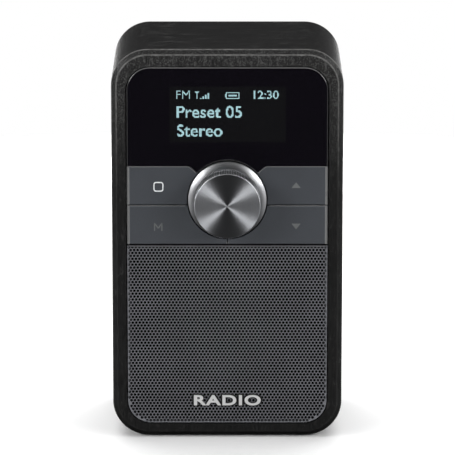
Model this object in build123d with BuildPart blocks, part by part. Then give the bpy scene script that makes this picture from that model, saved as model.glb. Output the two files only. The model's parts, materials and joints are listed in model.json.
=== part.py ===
from build123d import *
import os
from math import atan2, cos, radians, tan

# A portable digital radio. A wooden sleeve cabinet is clamped between a plastic chassis at the front
# and a plastic panel at the back. The chassis carries a display window, four keys, a push-and-turn
# knob and a loudspeaker behind a perforated grille. A telescopic antenna folds down behind the rear
# panel. Millimetres. X runs to the right as seen from the front, Y to the back and Z up. The origin
# is on the table, under the middle of the radio.

os.makedirs("parts", exist_ok=True)

# ---------------------------------------------------------------- driving dimensions
cabinet_width = 76.0
cabinet_height = 131.0
cabinet_depth = 52.0
corner_radius = 12.0
edge_chamfer = 1.7
edge_softening = 0.3
foot_height = 0.4
foot_radius = 4.0
foot_recess = 1.0

opening_width = 66.6
opening_radius = 8.0
opening_low = 4.4
opening_high = 125.5
ledge_width = 2.0
front_rebate = 7.0
rear_rebate = 5.0
panel_gap = 0.3

knob_radius = 12.85
knob_height = 8.8
knob_level = 80.8
knob_cut_radius = 13.2
seam = 0.25
speaker_level = 35.2
antenna_x = 26.0
antenna_level = 118.5

# ---------------------------------------------------------------- heights above the table
base_z = foot_height
cabinet_mid_z = base_z + cabinet_height / 2
opening_low_z = base_z + opening_low
opening_high_z = base_z + opening_high
opening_height = opening_high_z - opening_low_z
opening_mid_z = (opening_high_z + opening_low_z) / 2
panel_width = opening_width - 2 * panel_gap
panel_height = opening_height - 2 * panel_gap
panel_radius = opening_radius - panel_gap
bore_width = opening_width - 2 * ledge_width
bore_height = opening_height - 2 * ledge_width
bore_radius = opening_radius - ledge_width

knob_z = base_z + knob_level
window_low_z = base_z + 92.35
upper_key_high_z = base_z + 92.1
upper_key_low_z = base_z + 79.2
lower_key_high_z = upper_key_low_z - seam
lower_key_low_z = base_z + 65.9
grille_high_z = base_z + 65.4
key_heights = {"upper": (upper_key_low_z, upper_key_high_z), "lower": (lower_key_low_z, lower_key_high_z)}
speaker_z = base_z + speaker_level
antenna_z = base_z + antenna_level

# ---------------------------------------------------------------- depths
front_y = -cabinet_depth / 2
rear_y = cabinet_depth / 2
face_y = front_y + 0.2
window_back_y = face_y + 2.0
plate_front_y = -22.2
plate_back_y = front_y + front_rebate - 0.1
key_board_y = -14.8
board_thickness = 1.6
main_board_y = -8.6
main_board_back_y = main_board_y + board_thickness
rear_face_y = rear_y - 0.8
rear_plate_y = rear_face_y - 2.4
rear_ledge_y = rear_y - rear_rebate + 0.05


def facing(y):
    """A plane at depth y that faces the front. Its own axes are the radio's X and Z."""
    return Plane.XZ.offset(-y)


def save(builder, name):
    """Names a finished piece and writes it to its own file."""
    builder.part.label = name
    export_step(builder.part, f"parts/{name}.step")


def turned(points):
    """A solid of revolution about the Y axis, from its section's (radius, y) points."""
    with BuildPart() as piece:
        with BuildSketch(Plane.XY):
            with BuildLine():
                Polyline(*points, close=True)
            make_face()
        revolve(axis=Axis.Y)
    return piece.part


def save_placed(name, solid, *places):
    """Sets one solid down at each (x, y, z) place and writes them as one piece or group."""
    with BuildPart() as piece:
        with Locations(*places):
            add(solid)
    save(piece, name)


def pan_screw(length, radius, head_radius, head_height):
    """A cross-head screw that points to the front, with the underside of its head at Y 0."""
    with BuildPart() as screw:
        with BuildSketch(facing(0)):
            Circle(radius)
        extrude(amount=length)
        with BuildSketch(facing(head_height)):
            Circle(head_radius)
        extrude(amount=head_height)
        fillet(screw.faces().sort_by(Axis.Y)[-1].edges(), radius=head_height * 0.3)
        with BuildSketch(facing(head_height)):
            Rectangle(head_radius * 1.3, head_radius * 0.28)
            Rectangle(head_radius * 0.28, head_radius * 1.3)
        extrude(amount=head_height * 0.5, mode=Mode.SUBTRACT)
    return screw.part


# ---------------------------------------------------------------- cabinet and feet
foot_places = [(x, y) for x in (-25.0, 25.0) for y in (-18.0, 18.0)]

with BuildPart() as cabinet:
    with BuildSketch(facing(rear_y)):
        with Locations((0, cabinet_mid_z)):
            RectangleRounded(cabinet_width, cabinet_height, corner_radius)
    extrude(amount=cabinet_depth)
    chamfer(cabinet.faces().filter_by(Axis.Y).edges(), length=edge_chamfer)
    fillet(cabinet.faces().filter_by(Axis.Y).edges(), radius=edge_softening)
    with BuildSketch(facing(rear_y)):
        with Locations((0, opening_mid_z)):
            RectangleRounded(bore_width, bore_height, bore_radius)
    extrude(amount=cabinet_depth, mode=Mode.SUBTRACT)
    for end_y, depth in ((front_y, -front_rebate), (rear_y, rear_rebate)):
        with BuildSketch(facing(end_y)):
            with Locations((0, opening_mid_z)):
                RectangleRounded(opening_width, opening_height, opening_radius)
        extrude(amount=depth, mode=Mode.SUBTRACT)
    with BuildSketch(Plane.XY.offset(base_z)):
        with Locations(foot_places):
            Circle(foot_radius + 0.15)
    extrude(amount=foot_recess, mode=Mode.SUBTRACT)
save(cabinet, "cabinet")

with BuildPart() as rubber_feet:
    with BuildSketch(Plane.XY):
        with Locations(foot_places):
            Circle(foot_radius)
    extrude(amount=foot_height + foot_recess)
    fillet(rubber_feet.faces().filter_by(Axis.Z).group_by(Axis.Z)[0].edges(), radius=0.4)
save(rubber_feet, "rubber_feet")

# ---------------------------------------------------------------- display
# The upper keys leave a wedge above the knob, which a lobe of the window fills. The wedge's sides
# point at the knob's middle.
wedge_run = 12.5
wedge_rise = upper_key_high_z - knob_z
wedge_angle = atan2(wedge_run, wedge_rise)
key_corner_radius = 2.4
window_edge_radius = 0.6


def wedge(angle, rise):
    """The corners of a wedge that stands on the knob's middle, from a half angle and a height."""
    run = rise * tan(angle)
    return (0, knob_z), (run, knob_z + rise), (-run, knob_z + rise)


with BuildPart() as display_window:
    with BuildSketch(facing(window_back_y)) as window_sketch:
        with Locations((0, opening_mid_z)):
            RectangleRounded(panel_width, panel_height, panel_radius)
        with Locations((0, window_low_z + cabinet_height / 2)):
            Rectangle(panel_width, cabinet_height, mode=Mode.INTERSECT)
        Polygon(*wedge(wedge_angle - radians(1.2), window_low_z - knob_z + 0.5), align=None)
        inner_corners = window_sketch.vertices().filter_by(
            lambda v: abs(v.Y - window_low_z) < 0.01 and abs(v.X) < panel_width / 4
        )
        fillet(inner_corners, radius=key_corner_radius + seam)
        with Locations((0, knob_z)):
            Circle(knob_cut_radius, mode=Mode.SUBTRACT)
    extrude(amount=window_back_y - face_y)
    outer_edges = display_window.faces().sort_by(Axis.Y)[0].edges()
    fillet(outer_edges.filter_by(lambda e: e.center().Z > window_low_z + 1.0), radius=window_edge_radius)
save(display_window, "display_window")

oled_width = 42.0
oled_height = 27.0
oled_z = base_z + 109.5
oled_thickness = 1.4
oled_back_y = window_back_y + oled_thickness
cushion_back_y = oled_back_y + 1.0
ribbon_width = 14.0
ribbon_z = base_z + 98.0

with BuildPart() as oled_panel:
    with BuildSketch(facing(oled_back_y)):
        with Locations((0, oled_z)):
            RectangleRounded(oled_width, oled_height, 0.4)
    extrude(amount=oled_thickness)
save(oled_panel, "oled_panel")

with BuildPart() as oled_cushion:
    with BuildSketch(facing(cushion_back_y)):
        with Locations((0, oled_z + 2.0)):
            RectangleRounded(oled_width - 4.0, oled_height - 8.0, 1.0)
    extrude(amount=cushion_back_y - oled_back_y)
save(oled_cushion, "oled_cushion")

with BuildPart() as oled_ribbon:
    with BuildSketch(Plane.YZ.offset(-ribbon_width / 2)):
        with BuildLine():
            FilletPolyline(
                (oled_back_y + 0.15, oled_z - oled_height / 2 + 3.0),
                (oled_back_y + 0.15, ribbon_z),
                (main_board_y - 2.0, ribbon_z),
                (main_board_y - 2.0, ribbon_z + 6.0),
                radius=0.8,
            )
        trace(line_width=0.15)
    extrude(amount=ribbon_width)
save(oled_ribbon, "oled_ribbon")

# ---------------------------------------------------------------- keys
cap_back_y = face_y + 1.8
key_skirt_y = -22.9
key_skirt_wall = 1.0
side_bevel_width = 0.9
side_bevel_depth = 0.35
key_edge_radius = 0.2
boss_radius = 2.5
key_button_x = 22.6
switch_face_y = -18.3
boss_end_y = switch_face_y - 0.6
guide_pin_radius = 1.0
guide_pin_end_y = plate_back_y - 0.4
guide_pin_places = (29.0, 16.5)


def key_outline(row, inset):
    """Inside a sketch: the outline of the key on the right, drawn in by inset."""
    low, high = key_heights[row]
    width = panel_width / 2 - seam / 2 - 2 * inset
    with Locations(((panel_width / 2 + seam / 2) / 2, (low + high) / 2)):
        Rectangle(width, high - low - 2 * inset)


def build_key(name, row, side):
    """One key cap with its skirt, boss and guide pins. side is -1 on the left and 1 on the right."""
    mid_z = sum(key_heights[row]) / 2
    with BuildPart() as key:
        with BuildSketch(facing(cap_back_y)) as outline:
            key_outline(row, 0.0)
            if row == "upper":
                Polygon(*wedge(wedge_angle, 2 * wedge_rise), align=None, mode=Mode.SUBTRACT)
                corner = outline.vertices().sort_by_distance((wedge_run, upper_key_high_z))[0]
                fillet(corner, radius=key_corner_radius)
            with Locations((0, knob_z)):
                Circle(knob_cut_radius, mode=Mode.SUBTRACT)
        extrude(amount=cap_back_y - face_y)
        cap_front = key.faces().sort_by(Axis.Y)[0]
        side_edge = cap_front.edges().sort_by(Axis.X)[-1]
        chamfer(side_edge, length=side_bevel_width, length2=side_bevel_depth, reference=cap_front)
        fillet(key.faces().sort_by(Axis.Y)[0].edges(), radius=key_edge_radius)
        with BuildSketch(facing(key_skirt_y)):
            key_outline(row, 0.3)
            if row == "upper":
                Polygon(*wedge(wedge_angle + radians(3.0), 2 * wedge_rise), align=None, mode=Mode.SUBTRACT)
            with Locations((0, knob_z)):
                Circle(knob_cut_radius + 0.4, mode=Mode.SUBTRACT)
            offset(amount=-key_skirt_wall, mode=Mode.SUBTRACT)
        extrude(amount=key_skirt_y - cap_back_y)
        with BuildSketch(facing(boss_end_y)):
            with Locations((key_button_x, mid_z)):
                Circle(boss_radius)
        extrude(amount=boss_end_y - cap_back_y)
        with BuildSketch(facing(guide_pin_end_y)):
            with Locations(*[(x, mid_z) for x in guide_pin_places]):
                Circle(guide_pin_radius)
        extrude(amount=guide_pin_end_y - cap_back_y)
        if side < 0:
            mirror(about=Plane.YZ, mode=Mode.REPLACE)
    save(key, f"{name}_key")


plunger_radius = 1.7
plunger_inset = 0.6
switch_size = 6.0
switch_floor = 1.6
key_mids = [sum(heights) / 2 for heights in key_heights.values()]
switch_places = [(side * key_button_x, mid_z) for side in (-1, 1) for mid_z in key_mids]
guide_pin_centres = [(side * x, mid_z) for side in (-1, 1) for x in guide_pin_places for mid_z in key_mids]

key_rows = (("home", "upper", -1), ("menu", "lower", -1), ("up", "upper", 1), ("down", "lower", 1))
for name, row, side in key_rows:
    build_key(name, row, side)
    with BuildPart() as switch_plunger:
        with BuildSketch(facing(switch_face_y + plunger_inset)):
            with Locations((side * key_button_x, sum(key_heights[row]) / 2)):
                Circle(plunger_radius)
        extrude(amount=switch_face_y + plunger_inset - boss_end_y)
    save(switch_plunger, f"{name}_switch_plunger")

with BuildPart() as switch_bodies:
    with BuildSketch(facing(key_board_y)):
        with Locations(*switch_places):
            RectangleRounded(switch_size, switch_size, 0.5)
    extrude(amount=key_board_y - switch_face_y)
    with BuildSketch(facing(key_board_y - switch_floor)):
        with Locations(*switch_places):
            Circle(plunger_radius + 0.3)
    extrude(amount=key_board_y - switch_floor - switch_face_y, mode=Mode.SUBTRACT)
save(switch_bodies, "switch_bodies")

# ---------------------------------------------------------------- front chassis
screw_radius = 0.9
screw_head_radius = 1.7
screw_head_height = 1.2
pilot_radius = 0.95
post_radius = 2.6
key_post_radius = 2.2
key_post_places = [(side * x, base_z + z) for x, z in ((28.2, 79.1), (14.0, 93.0)) for side in (-1, 1)]
board_post_places = [(side * 27.3, base_z + z) for side in (-1, 1) for z in (64.4, 117.8)]
clamp_post_places = [(side * x, base_z + z) for side in (-1, 1) for x, z in ((27.4, 99.0), (26.6, 11.8))]
clamp_pilot_radius = 1.25
speaker_cut_radius = 24.4
bushing_radius = 3.5
speaker_screw_circle = 25.9

with BuildPart() as front_chassis:
    with BuildSketch(facing(plate_back_y)):
        with Locations((0, opening_mid_z)):
            RectangleRounded(panel_width, panel_height, panel_radius)
    extrude(amount=plate_back_y - plate_front_y)
    with BuildSketch(facing(plate_front_y)):
        with Locations((0, opening_mid_z)):
            RectangleRounded(panel_width - 1.2, panel_height - 1.2, panel_radius - 0.6)
        with Locations((0, window_low_z + 0.8 + cabinet_height / 2)):
            Rectangle(panel_width, cabinet_height, mode=Mode.INTERSECT)
    extrude(amount=plate_front_y - window_back_y)
    with BuildSketch(facing(cushion_back_y)):
        with Locations((0, oled_z)):
            RectangleRounded(oled_width + 0.6, oled_height + 0.6, 0.8)
    extrude(amount=cushion_back_y - window_back_y, mode=Mode.SUBTRACT)
    with BuildSketch(facing(plate_back_y)):
        with Locations((0, ribbon_z)):
            Rectangle(ribbon_width + 2.0, 2.0)
        with Locations((0, speaker_z)):
            Circle(speaker_cut_radius)
        with Locations((0, knob_z)):
            Circle(bushing_radius + 0.1)
        with Locations(*switch_places):
            Circle(boss_radius + 0.4)
        with Locations(*guide_pin_centres):
            Circle(guide_pin_radius + 0.35)
    extrude(amount=plate_back_y - window_back_y, mode=Mode.SUBTRACT)
    for places, radius, end_y in (
        (key_post_places, key_post_radius, key_board_y),
        (board_post_places, post_radius, main_board_y),
        (clamp_post_places[0::2], post_radius, main_board_y),
        (clamp_post_places[1::2], post_radius, main_board_back_y),
    ):
        with BuildSketch(facing(end_y)):
            with Locations(*places):
                Circle(radius)
        extrude(amount=end_y - plate_back_y)
    for places, radius, end_y, depth in (
        (key_post_places, pilot_radius, key_board_y, 5.0),
        (board_post_places, pilot_radius, main_board_y, 6.0),
        (clamp_post_places, clamp_pilot_radius, main_board_back_y, 12.0),
    ):
        with BuildSketch(facing(end_y)):
            with Locations(*places):
                Circle(radius)
        extrude(amount=depth, mode=Mode.SUBTRACT)
    with BuildSketch(facing(plate_back_y)):
        with Locations((0, speaker_z)):
            with PolarLocations(speaker_screw_circle, 4, start_angle=45):
                Circle(pilot_radius)
    extrude(amount=2.4, mode=Mode.SUBTRACT)
save(front_chassis, "front_chassis")

# ---------------------------------------------------------------- loudspeaker grille
grille_sheet = 0.8
grille_flange = 1.0
grille_inner_y = face_y + grille_sheet


def grille_outline(inset):
    """Inside a sketch: the lower end of the panel, up to the grille's top edge, drawn in by inset."""
    with Locations((0, opening_mid_z)):
        RectangleRounded(panel_width - 2 * inset, panel_height - 2 * inset, panel_radius - inset)
    with Locations((0, grille_high_z - inset - cabinet_height / 2)):
        Rectangle(panel_width, cabinet_height, mode=Mode.INTERSECT)


with BuildPart() as speaker_grille:
    with BuildSketch(facing(plate_front_y)):
        grille_outline(0.0)
    extrude(amount=plate_front_y - face_y)
    fillet(speaker_grille.faces().sort_by(Axis.Y)[0].edges(), radius=0.4)
    with BuildSketch(facing(plate_front_y)):
        grille_outline(grille_flange)
    extrude(amount=plate_front_y - grille_inner_y, mode=Mode.SUBTRACT)
save(speaker_grille, "speaker_grille")

cloth_thickness = 0.3
with BuildPart() as grille_cloth:
    with BuildSketch(facing(grille_inner_y + cloth_thickness)):
        grille_outline(grille_flange + 0.3)
    extrude(amount=cloth_thickness)
save(grille_cloth, "grille_cloth")

badge_width = 22.2
badge_height = 3.6
badge_thickness = 0.4
badge_z = base_z + 12.5
with BuildPart() as badge:
    with BuildSketch(facing(face_y)):
        with Locations((0, badge_z)):
            RectangleRounded(badge_width, badge_height, 0.5)
    extrude(amount=badge_thickness)
save(badge, "badge")

# ---------------------------------------------------------------- key board, encoder and knob
shaft_radius = 3.0
bushing_end_y = -23.9
encoder_face_y = plate_back_y
encoder_wall = 0.5
encoder_size = 12.0
encoder_cavity_radius = 4.4
encoder_cavity_y = key_board_y - encoder_wall
encoder_throat_y = encoder_face_y + encoder_wall
shaft_inner_y = -16.6
knob_back_y = -25.2
knob_front_y = front_y - knob_height
hub_back_y = -24.7
shaft_tip_y = knob_front_y + 3.6

with BuildPart() as key_board:
    with BuildSketch(facing(key_board_y + board_thickness)):
        with Locations((0, base_z + 81.4)):
            RectangleRounded(60.0, 27.0, 1.0)
        with Locations(*key_post_places):
            Circle(pilot_radius + 0.25, mode=Mode.SUBTRACT)
    extrude(amount=board_thickness)
save(key_board, "key_board")

with BuildPart() as encoder_body:
    with BuildSketch(facing(key_board_y)):
        with Locations((0, knob_z)):
            RectangleRounded(encoder_size, encoder_size, 0.6)
    extrude(amount=key_board_y - encoder_face_y)
    with BuildSketch(facing(encoder_face_y)):
        with Locations((0, knob_z)):
            Circle(bushing_radius)
    extrude(amount=encoder_face_y - bushing_end_y)
    with BuildSketch(facing(key_board_y)):
        with Locations((0, knob_z)):
            Circle(shaft_radius + 0.06)
    extrude(amount=key_board_y - bushing_end_y, mode=Mode.SUBTRACT)
    with BuildSketch(facing(encoder_cavity_y)):
        with Locations((0, knob_z)):
            Circle(encoder_cavity_radius)
    extrude(amount=encoder_cavity_y - encoder_throat_y, mode=Mode.SUBTRACT)
    with BuildSketch(facing(key_board_y)):
        with Locations((0, knob_z)):
            Circle(encoder_cavity_radius + 0.2)
    extrude(amount=encoder_wall)
save(encoder_body, "encoder_body")

with BuildPart() as encoder_nut:
    with BuildSketch(facing(plate_front_y)):
        with Locations((0, knob_z)):
            Circle(5.8)
            Circle(bushing_radius, mode=Mode.SUBTRACT)
    extrude(amount=0.4)
    with BuildSketch(facing(plate_front_y - 0.4)):
        with Locations((0, knob_z)):
            RegularPolygon(5.5, 6)
            Circle(bushing_radius, mode=Mode.SUBTRACT)
    extrude(amount=1.0)
save(encoder_nut, "encoder_nut")

# The shaft's tip has a flat, so that it turns with the knob's hub.
flat_depth = 1.5
shaft_flange_radius = 4.0
with BuildPart() as encoder_shaft:
    with BuildSketch(facing(shaft_inner_y)):
        with Locations((0, knob_z)):
            Circle(shaft_radius)
    extrude(amount=shaft_inner_y - shaft_tip_y)
    with BuildSketch(facing(shaft_inner_y)):
        with Locations((0, knob_z)):
            Circle(shaft_flange_radius)
    extrude(amount=0.8)
    with BuildSketch(facing(hub_back_y)):
        with Locations((0, knob_z + shaft_radius)):
            Rectangle(2 * shaft_radius, 2 * flat_depth)
    extrude(amount=hub_back_y - shaft_tip_y, mode=Mode.SUBTRACT)
save(encoder_shaft, "encoder_shaft")

encoder_plunger_section = [(0, -16.5), (shaft_radius, -16.5), (shaft_radius, -16.1), (0, -16.1)]
save_placed("encoder_plunger", turned(encoder_plunger_section), (0, 0, knob_z))

hub_radius = 5.6
web_radius = 8.2
hub_front_y = shaft_tip_y - 0.8
with BuildPart() as knob_hub:
    with BuildSketch(facing(hub_back_y)):
        with Locations((0, knob_z)):
            Circle(hub_radius)
    extrude(amount=hub_back_y - hub_front_y)
    with BuildSketch(facing(hub_back_y)):
        with Locations((0, knob_z)):
            Circle(shaft_radius + 0.02)
        with Locations((0, knob_z + shaft_radius + 0.02)):
            Rectangle(2 * shaft_radius + 1, 2 * flat_depth, mode=Mode.SUBTRACT)
    extrude(amount=hub_back_y - shaft_tip_y, mode=Mode.SUBTRACT)
    with BuildSketch(facing(hub_front_y)):
        with Locations((0, knob_z)):
            with PolarLocations((hub_radius + web_radius) / 2, 3, start_angle=90):
                Rectangle(web_radius - hub_radius + 0.8, 1.4)
    extrude(amount=-3.0)
save(knob_hub, "knob_hub")

# The knob is a turned shell: a concave skirt, a shadow groove, a knurled band and a spun face.
band_radius = 10.85
groove_radius = 10.6
groove_width = 0.25
face_bevel = 0.25
flare_low = (knob_radius, front_y)
flare_mid = (11.72, front_y - 0.83)
flare_high = (10.95, front_y - 2.0)
band_low_y = flare_high[1] - groove_width
knob_wall_radius = 8.8
with BuildPart() as tuning_knob:
    with BuildSketch(Plane.XY):
        with BuildLine():
            Polyline((knob_wall_radius, knob_back_y), (knob_radius, knob_back_y), flare_low)
            ThreePointArc(flare_low, flare_mid, flare_high)
            Polyline(
                flare_high,
                (groove_radius, flare_high[1]),
                (groove_radius, band_low_y),
                (band_radius, band_low_y),
                (band_radius, knob_front_y + face_bevel),
                (band_radius - face_bevel, knob_front_y),
                (0, knob_front_y),
                (0, hub_front_y),
                (knob_wall_radius, hub_front_y),
                (knob_wall_radius, knob_back_y),
            )
        make_face()
    revolve(axis=Axis.Y)
save_placed("tuning_knob", tuning_knob.part, (0, 0, knob_z))

# ---------------------------------------------------------------- loudspeaker
gasket_back_y = plate_back_y + 0.5
flange_back_y = gasket_back_y + 1.0
flange_radius = 27.8

with BuildPart() as speaker_gasket:
    with BuildSketch(facing(gasket_back_y)):
        with Locations((0, speaker_z)):
            Circle(flange_radius)
            Circle(speaker_cut_radius, mode=Mode.SUBTRACT)
            with PolarLocations(speaker_screw_circle, 4, start_angle=45):
                Circle(pilot_radius + 0.1, mode=Mode.SUBTRACT)
    extrude(amount=gasket_back_y - plate_back_y)
save(speaker_gasket, "speaker_gasket")

basket_inner = 23.2
rim_y = gasket_back_y

basket_solid = turned(
    [
        (basket_inner, rim_y),
        (flange_radius, rim_y),
        (flange_radius, flange_back_y),
        (24.1, flange_back_y),
        (24.1, -13.5),
        (16.9, -5.2),
        (9.0, -5.2),
        (9.0, -6.2),
        (16.4, -6.2),
        (basket_inner, -13.2),
    ]
)
with BuildPart() as speaker_basket:
    with Locations((0, 0, speaker_z)):
        add(basket_solid)
    with BuildSketch(facing(flange_back_y + 20)):
        with Locations((0, speaker_z)):
            with PolarLocations(20.6, 4):
                Rectangle(6.4, 20.0)
    extrude(amount=18.6, mode=Mode.SUBTRACT)
    with BuildSketch(facing(flange_back_y)):
        with Locations((0, speaker_z)):
            with PolarLocations(speaker_screw_circle, 4, start_angle=45):
                Circle(pilot_radius + 0.1)
    extrude(amount=1.0, mode=Mode.SUBTRACT)
save(speaker_basket, "speaker_basket")

top_plate_back_y = -2.6
magnet_back_y = 4.4
yoke_back_y = 7.4
coil_front_y = -12.2
coil_back_y = -1.6
gap_radius = 7.2
pole_radius = 5.9
coil_radius = 6.7
coil_inner_radius = 6.3
cone_radius = 20.4
cone_low_y = coil_front_y - 0.5
cone_high_y = rim_y - 0.4
cone_slope = (cone_low_y - cone_high_y) / (19.4 - coil_radius)


def cone_y(radius):
    """The depth of the cone's front face at a radius."""
    return cone_low_y - cone_slope * (radius - coil_radius)


plate_section = [
    (gap_radius, -5.2),
    (16.0, -5.2),
    (16.0, top_plate_back_y),
    (gap_radius, top_plate_back_y),
]
magnet_section = [(9.0, top_plate_back_y), (17.0, top_plate_back_y), (17.0, magnet_back_y), (9.0, magnet_back_y)]
yoke_section = [
    (0, -5.2),
    (pole_radius, -5.2),
    (pole_radius, magnet_back_y),
    (16.0, magnet_back_y),
    (16.0, yoke_back_y),
    (0, yoke_back_y),
]
coil_section = [
    (coil_inner_radius, coil_front_y),
    (coil_radius, coil_front_y),
    (coil_radius, coil_back_y),
    (coil_inner_radius, coil_back_y),
]
cone_section = [
    (coil_radius, coil_front_y),
    (coil_radius, cone_low_y),
    (19.4, cone_high_y),
    (cone_radius, cone_high_y),
    (cone_radius, rim_y),
    (19.6, rim_y),
    (coil_radius + 0.5, coil_front_y),
]
# The spider holds the coil in the middle of its gap.
spider_section = [(coil_radius, -9.4), (19.0, -9.4), (19.0, -9.0), (coil_radius, -9.0)]

for name, section in (
    ("speaker_top_plate", plate_section),
    ("speaker_magnet", magnet_section),
    ("speaker_yoke", yoke_section),
    ("voice_coil", coil_section),
    ("speaker_cone", cone_section),
    ("speaker_spider", spider_section),
):
    save_placed(name, turned(section), (0, 0, speaker_z))

cap_radius = 7.6
cap_edge = 0.7
cap_sheet = 0.3
cap_top_y = -15.6


def dome(radius, top_y, rim_y):
    """An arc from the axis at top_y out to a rim, with its centre on the axis."""
    rise = rim_y - top_y
    sphere = (radius**2 + rise**2) / (2 * rise)
    middle = radius / 2
    middle_y = top_y + sphere - (sphere**2 - middle**2) ** 0.5
    return ThreePointArc((0, top_y), (middle, middle_y), (radius, rim_y))


with BuildPart() as dust_cap:
    with BuildSketch(Plane.XY):
        with BuildLine():
            dome(cap_radius, cap_top_y, cone_y(cap_radius))
            Line((cap_radius, cone_y(cap_radius)), (cap_radius - cap_edge, cone_y(cap_radius - cap_edge)))
            dome(cap_radius - cap_edge, cap_top_y + cap_sheet, cone_y(cap_radius - cap_edge))
            Line((0, cap_top_y + cap_sheet), (0, cap_top_y))
        make_face()
    revolve(axis=Axis.Y)
save_placed("dust_cap", dust_cap.part, (0, 0, speaker_z))

# The surround is a half roll that seals the cone to the basket's rim.
surround_outer = 24.3
surround_sheet = 0.4
surround_rise = 1.2
surround_mid = (cone_radius + surround_outer) / 2
with BuildPart() as speaker_surround:
    with BuildSketch(Plane.XY):
        with BuildLine():
            Line((cone_radius, rim_y), (cone_radius, rim_y - surround_sheet))
            ThreePointArc(
                (cone_radius, rim_y - surround_sheet),
                (surround_mid, rim_y - surround_sheet - surround_rise),
                (surround_outer, rim_y - surround_sheet),
            )
            Line((surround_outer, rim_y - surround_sheet), (surround_outer, rim_y))
            ThreePointArc(
                (surround_outer, rim_y),
                (surround_mid, rim_y - surround_rise),
                (cone_radius, rim_y),
            )
        make_face()
    revolve(axis=Axis.Y)
save_placed("speaker_surround", speaker_surround.part, (0, 0, speaker_z))

speaker_screw_reach = speaker_screw_circle * cos(radians(45))
speaker_screw_steps = (-speaker_screw_reach, speaker_screw_reach)
save_placed(
    "speaker_screws",
    pan_screw(3.6, screw_radius, screw_head_radius, screw_head_height),
    *[(x, flange_back_y, speaker_z + z) for x in speaker_screw_steps for z in speaker_screw_steps],
)

# ---------------------------------------------------------------- main board
main_board_mid_z = base_z + 91.5
with BuildPart() as main_board:
    with BuildSketch(facing(main_board_back_y)):
        with Locations((0, main_board_mid_z)):
            RectangleRounded(60.0, 60.0, 3.0)
        with Locations(*board_post_places):
            Circle(pilot_radius + 0.25, mode=Mode.SUBTRACT)
        with Locations(*clamp_post_places[0::2]):
            Circle(clamp_pilot_radius + 0.25, mode=Mode.SUBTRACT)
    extrude(amount=board_thickness)
save(main_board, "main_board")

save_placed(
    "board_screws",
    pan_screw(6.0, screw_radius, screw_head_radius, screw_head_height),
    *[(x, main_board_back_y, z) for x, z in board_post_places],
    *[(x, key_board_y + board_thickness, z) for x, z in key_post_places],
)

with BuildPart() as tuner_shield:
    with BuildSketch(facing(main_board_back_y + 3.0)):
        with Locations((10.0, base_z + 108.0)):
            RectangleRounded(24.0, 18.0, 0.8)
    extrude(amount=3.0)
    fillet(tuner_shield.faces().sort_by(Axis.Y)[-1].edges(), radius=0.4)
save(tuner_shield, "tuner_shield")

with BuildPart() as board_chips:
    for x, z, width, height, thickness in (
        (-12.0, 84.0, 12.0, 12.0, 1.2),
        (6.0, 90.0, 9.0, 6.0, 1.0),
        (14.0, 76.0, 6.0, 6.0, 1.2),
        (0.0, 71.0, 5.0, 4.0, 1.5),
    ):
        with BuildSketch(facing(main_board_back_y + thickness)):
            with Locations((x, base_z + z)):
                Rectangle(width, height)
        extrude(amount=thickness)
    with BuildSketch(facing(main_board_back_y + 5.0)):
        with Locations((-20.0, base_z + 68.0), (-12.0, base_z + 68.0), (20.0, base_z + 66.0)):
            Circle(2.5)
    extrude(amount=5.0)
save(board_chips, "board_chips")

connector_places = [(-20.0, 110.0), (20.0, 84.0), (21.0, 94.0)]
with BuildPart() as board_connectors:
    with BuildSketch(facing(main_board_back_y + 4.0)):
        with Locations(*[(x, base_z + z) for x, z in connector_places]):
            Rectangle(6.0, 4.6)
    extrude(amount=4.0)
    with BuildSketch(facing(main_board_y)):
        with Locations((0, ribbon_z + 4.8)):
            Rectangle(ribbon_width + 3.0, 3.0)
    extrude(amount=1.9)
save(board_connectors, "board_connectors")

# ---------------------------------------------------------------- battery
battery_back_y = rear_plate_y - 0.5
battery_thickness = 9.6
battery_width = 44.0
battery_height = 40.0
battery_z = base_z + 94.0
with BuildPart() as battery_pack:
    with BuildSketch(facing(battery_back_y)):
        with Locations((0, battery_z)):
            RectangleRounded(battery_width, battery_height, 2.0)
    extrude(amount=battery_thickness)
    fillet(battery_pack.edges().filter_by(GeomType.LINE).filter_by(Axis.X), radius=2.0)
save(battery_pack, "battery_pack")

with BuildPart() as battery_pad:
    with BuildSketch(facing(rear_plate_y)):
        with Locations((0, battery_z)):
            Rectangle(battery_width - 8.0, battery_height - 10.0)
    extrude(amount=0.5)
save(battery_pad, "battery_pad")

# ---------------------------------------------------------------- rear panel
rear_post_radius = 3.2
rear_screw_head_radius = 2.2
rear_well_radius = 2.5
rear_floor = 2.0
io_board_z = base_z + 11.0
io_board_top_z = io_board_z + board_thickness
io_ledge_x = 14.0
usb_x = -9.0
usb_width = 8.94
usb_height = 3.26
usb_z = io_board_top_z + usb_height / 2
usb_back_y = rear_face_y - 0.2
usb_front_y = usb_back_y - 7.3
jack_x = 9.0
jack_collar_radius = 3.0
jack_bore_radius = 1.8
jack_z = io_board_top_z + 3.1
jack_face_y = rear_face_y
jack_body_front_y = jack_face_y - 14.0
antenna_sleeve_radius = 3.2

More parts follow.
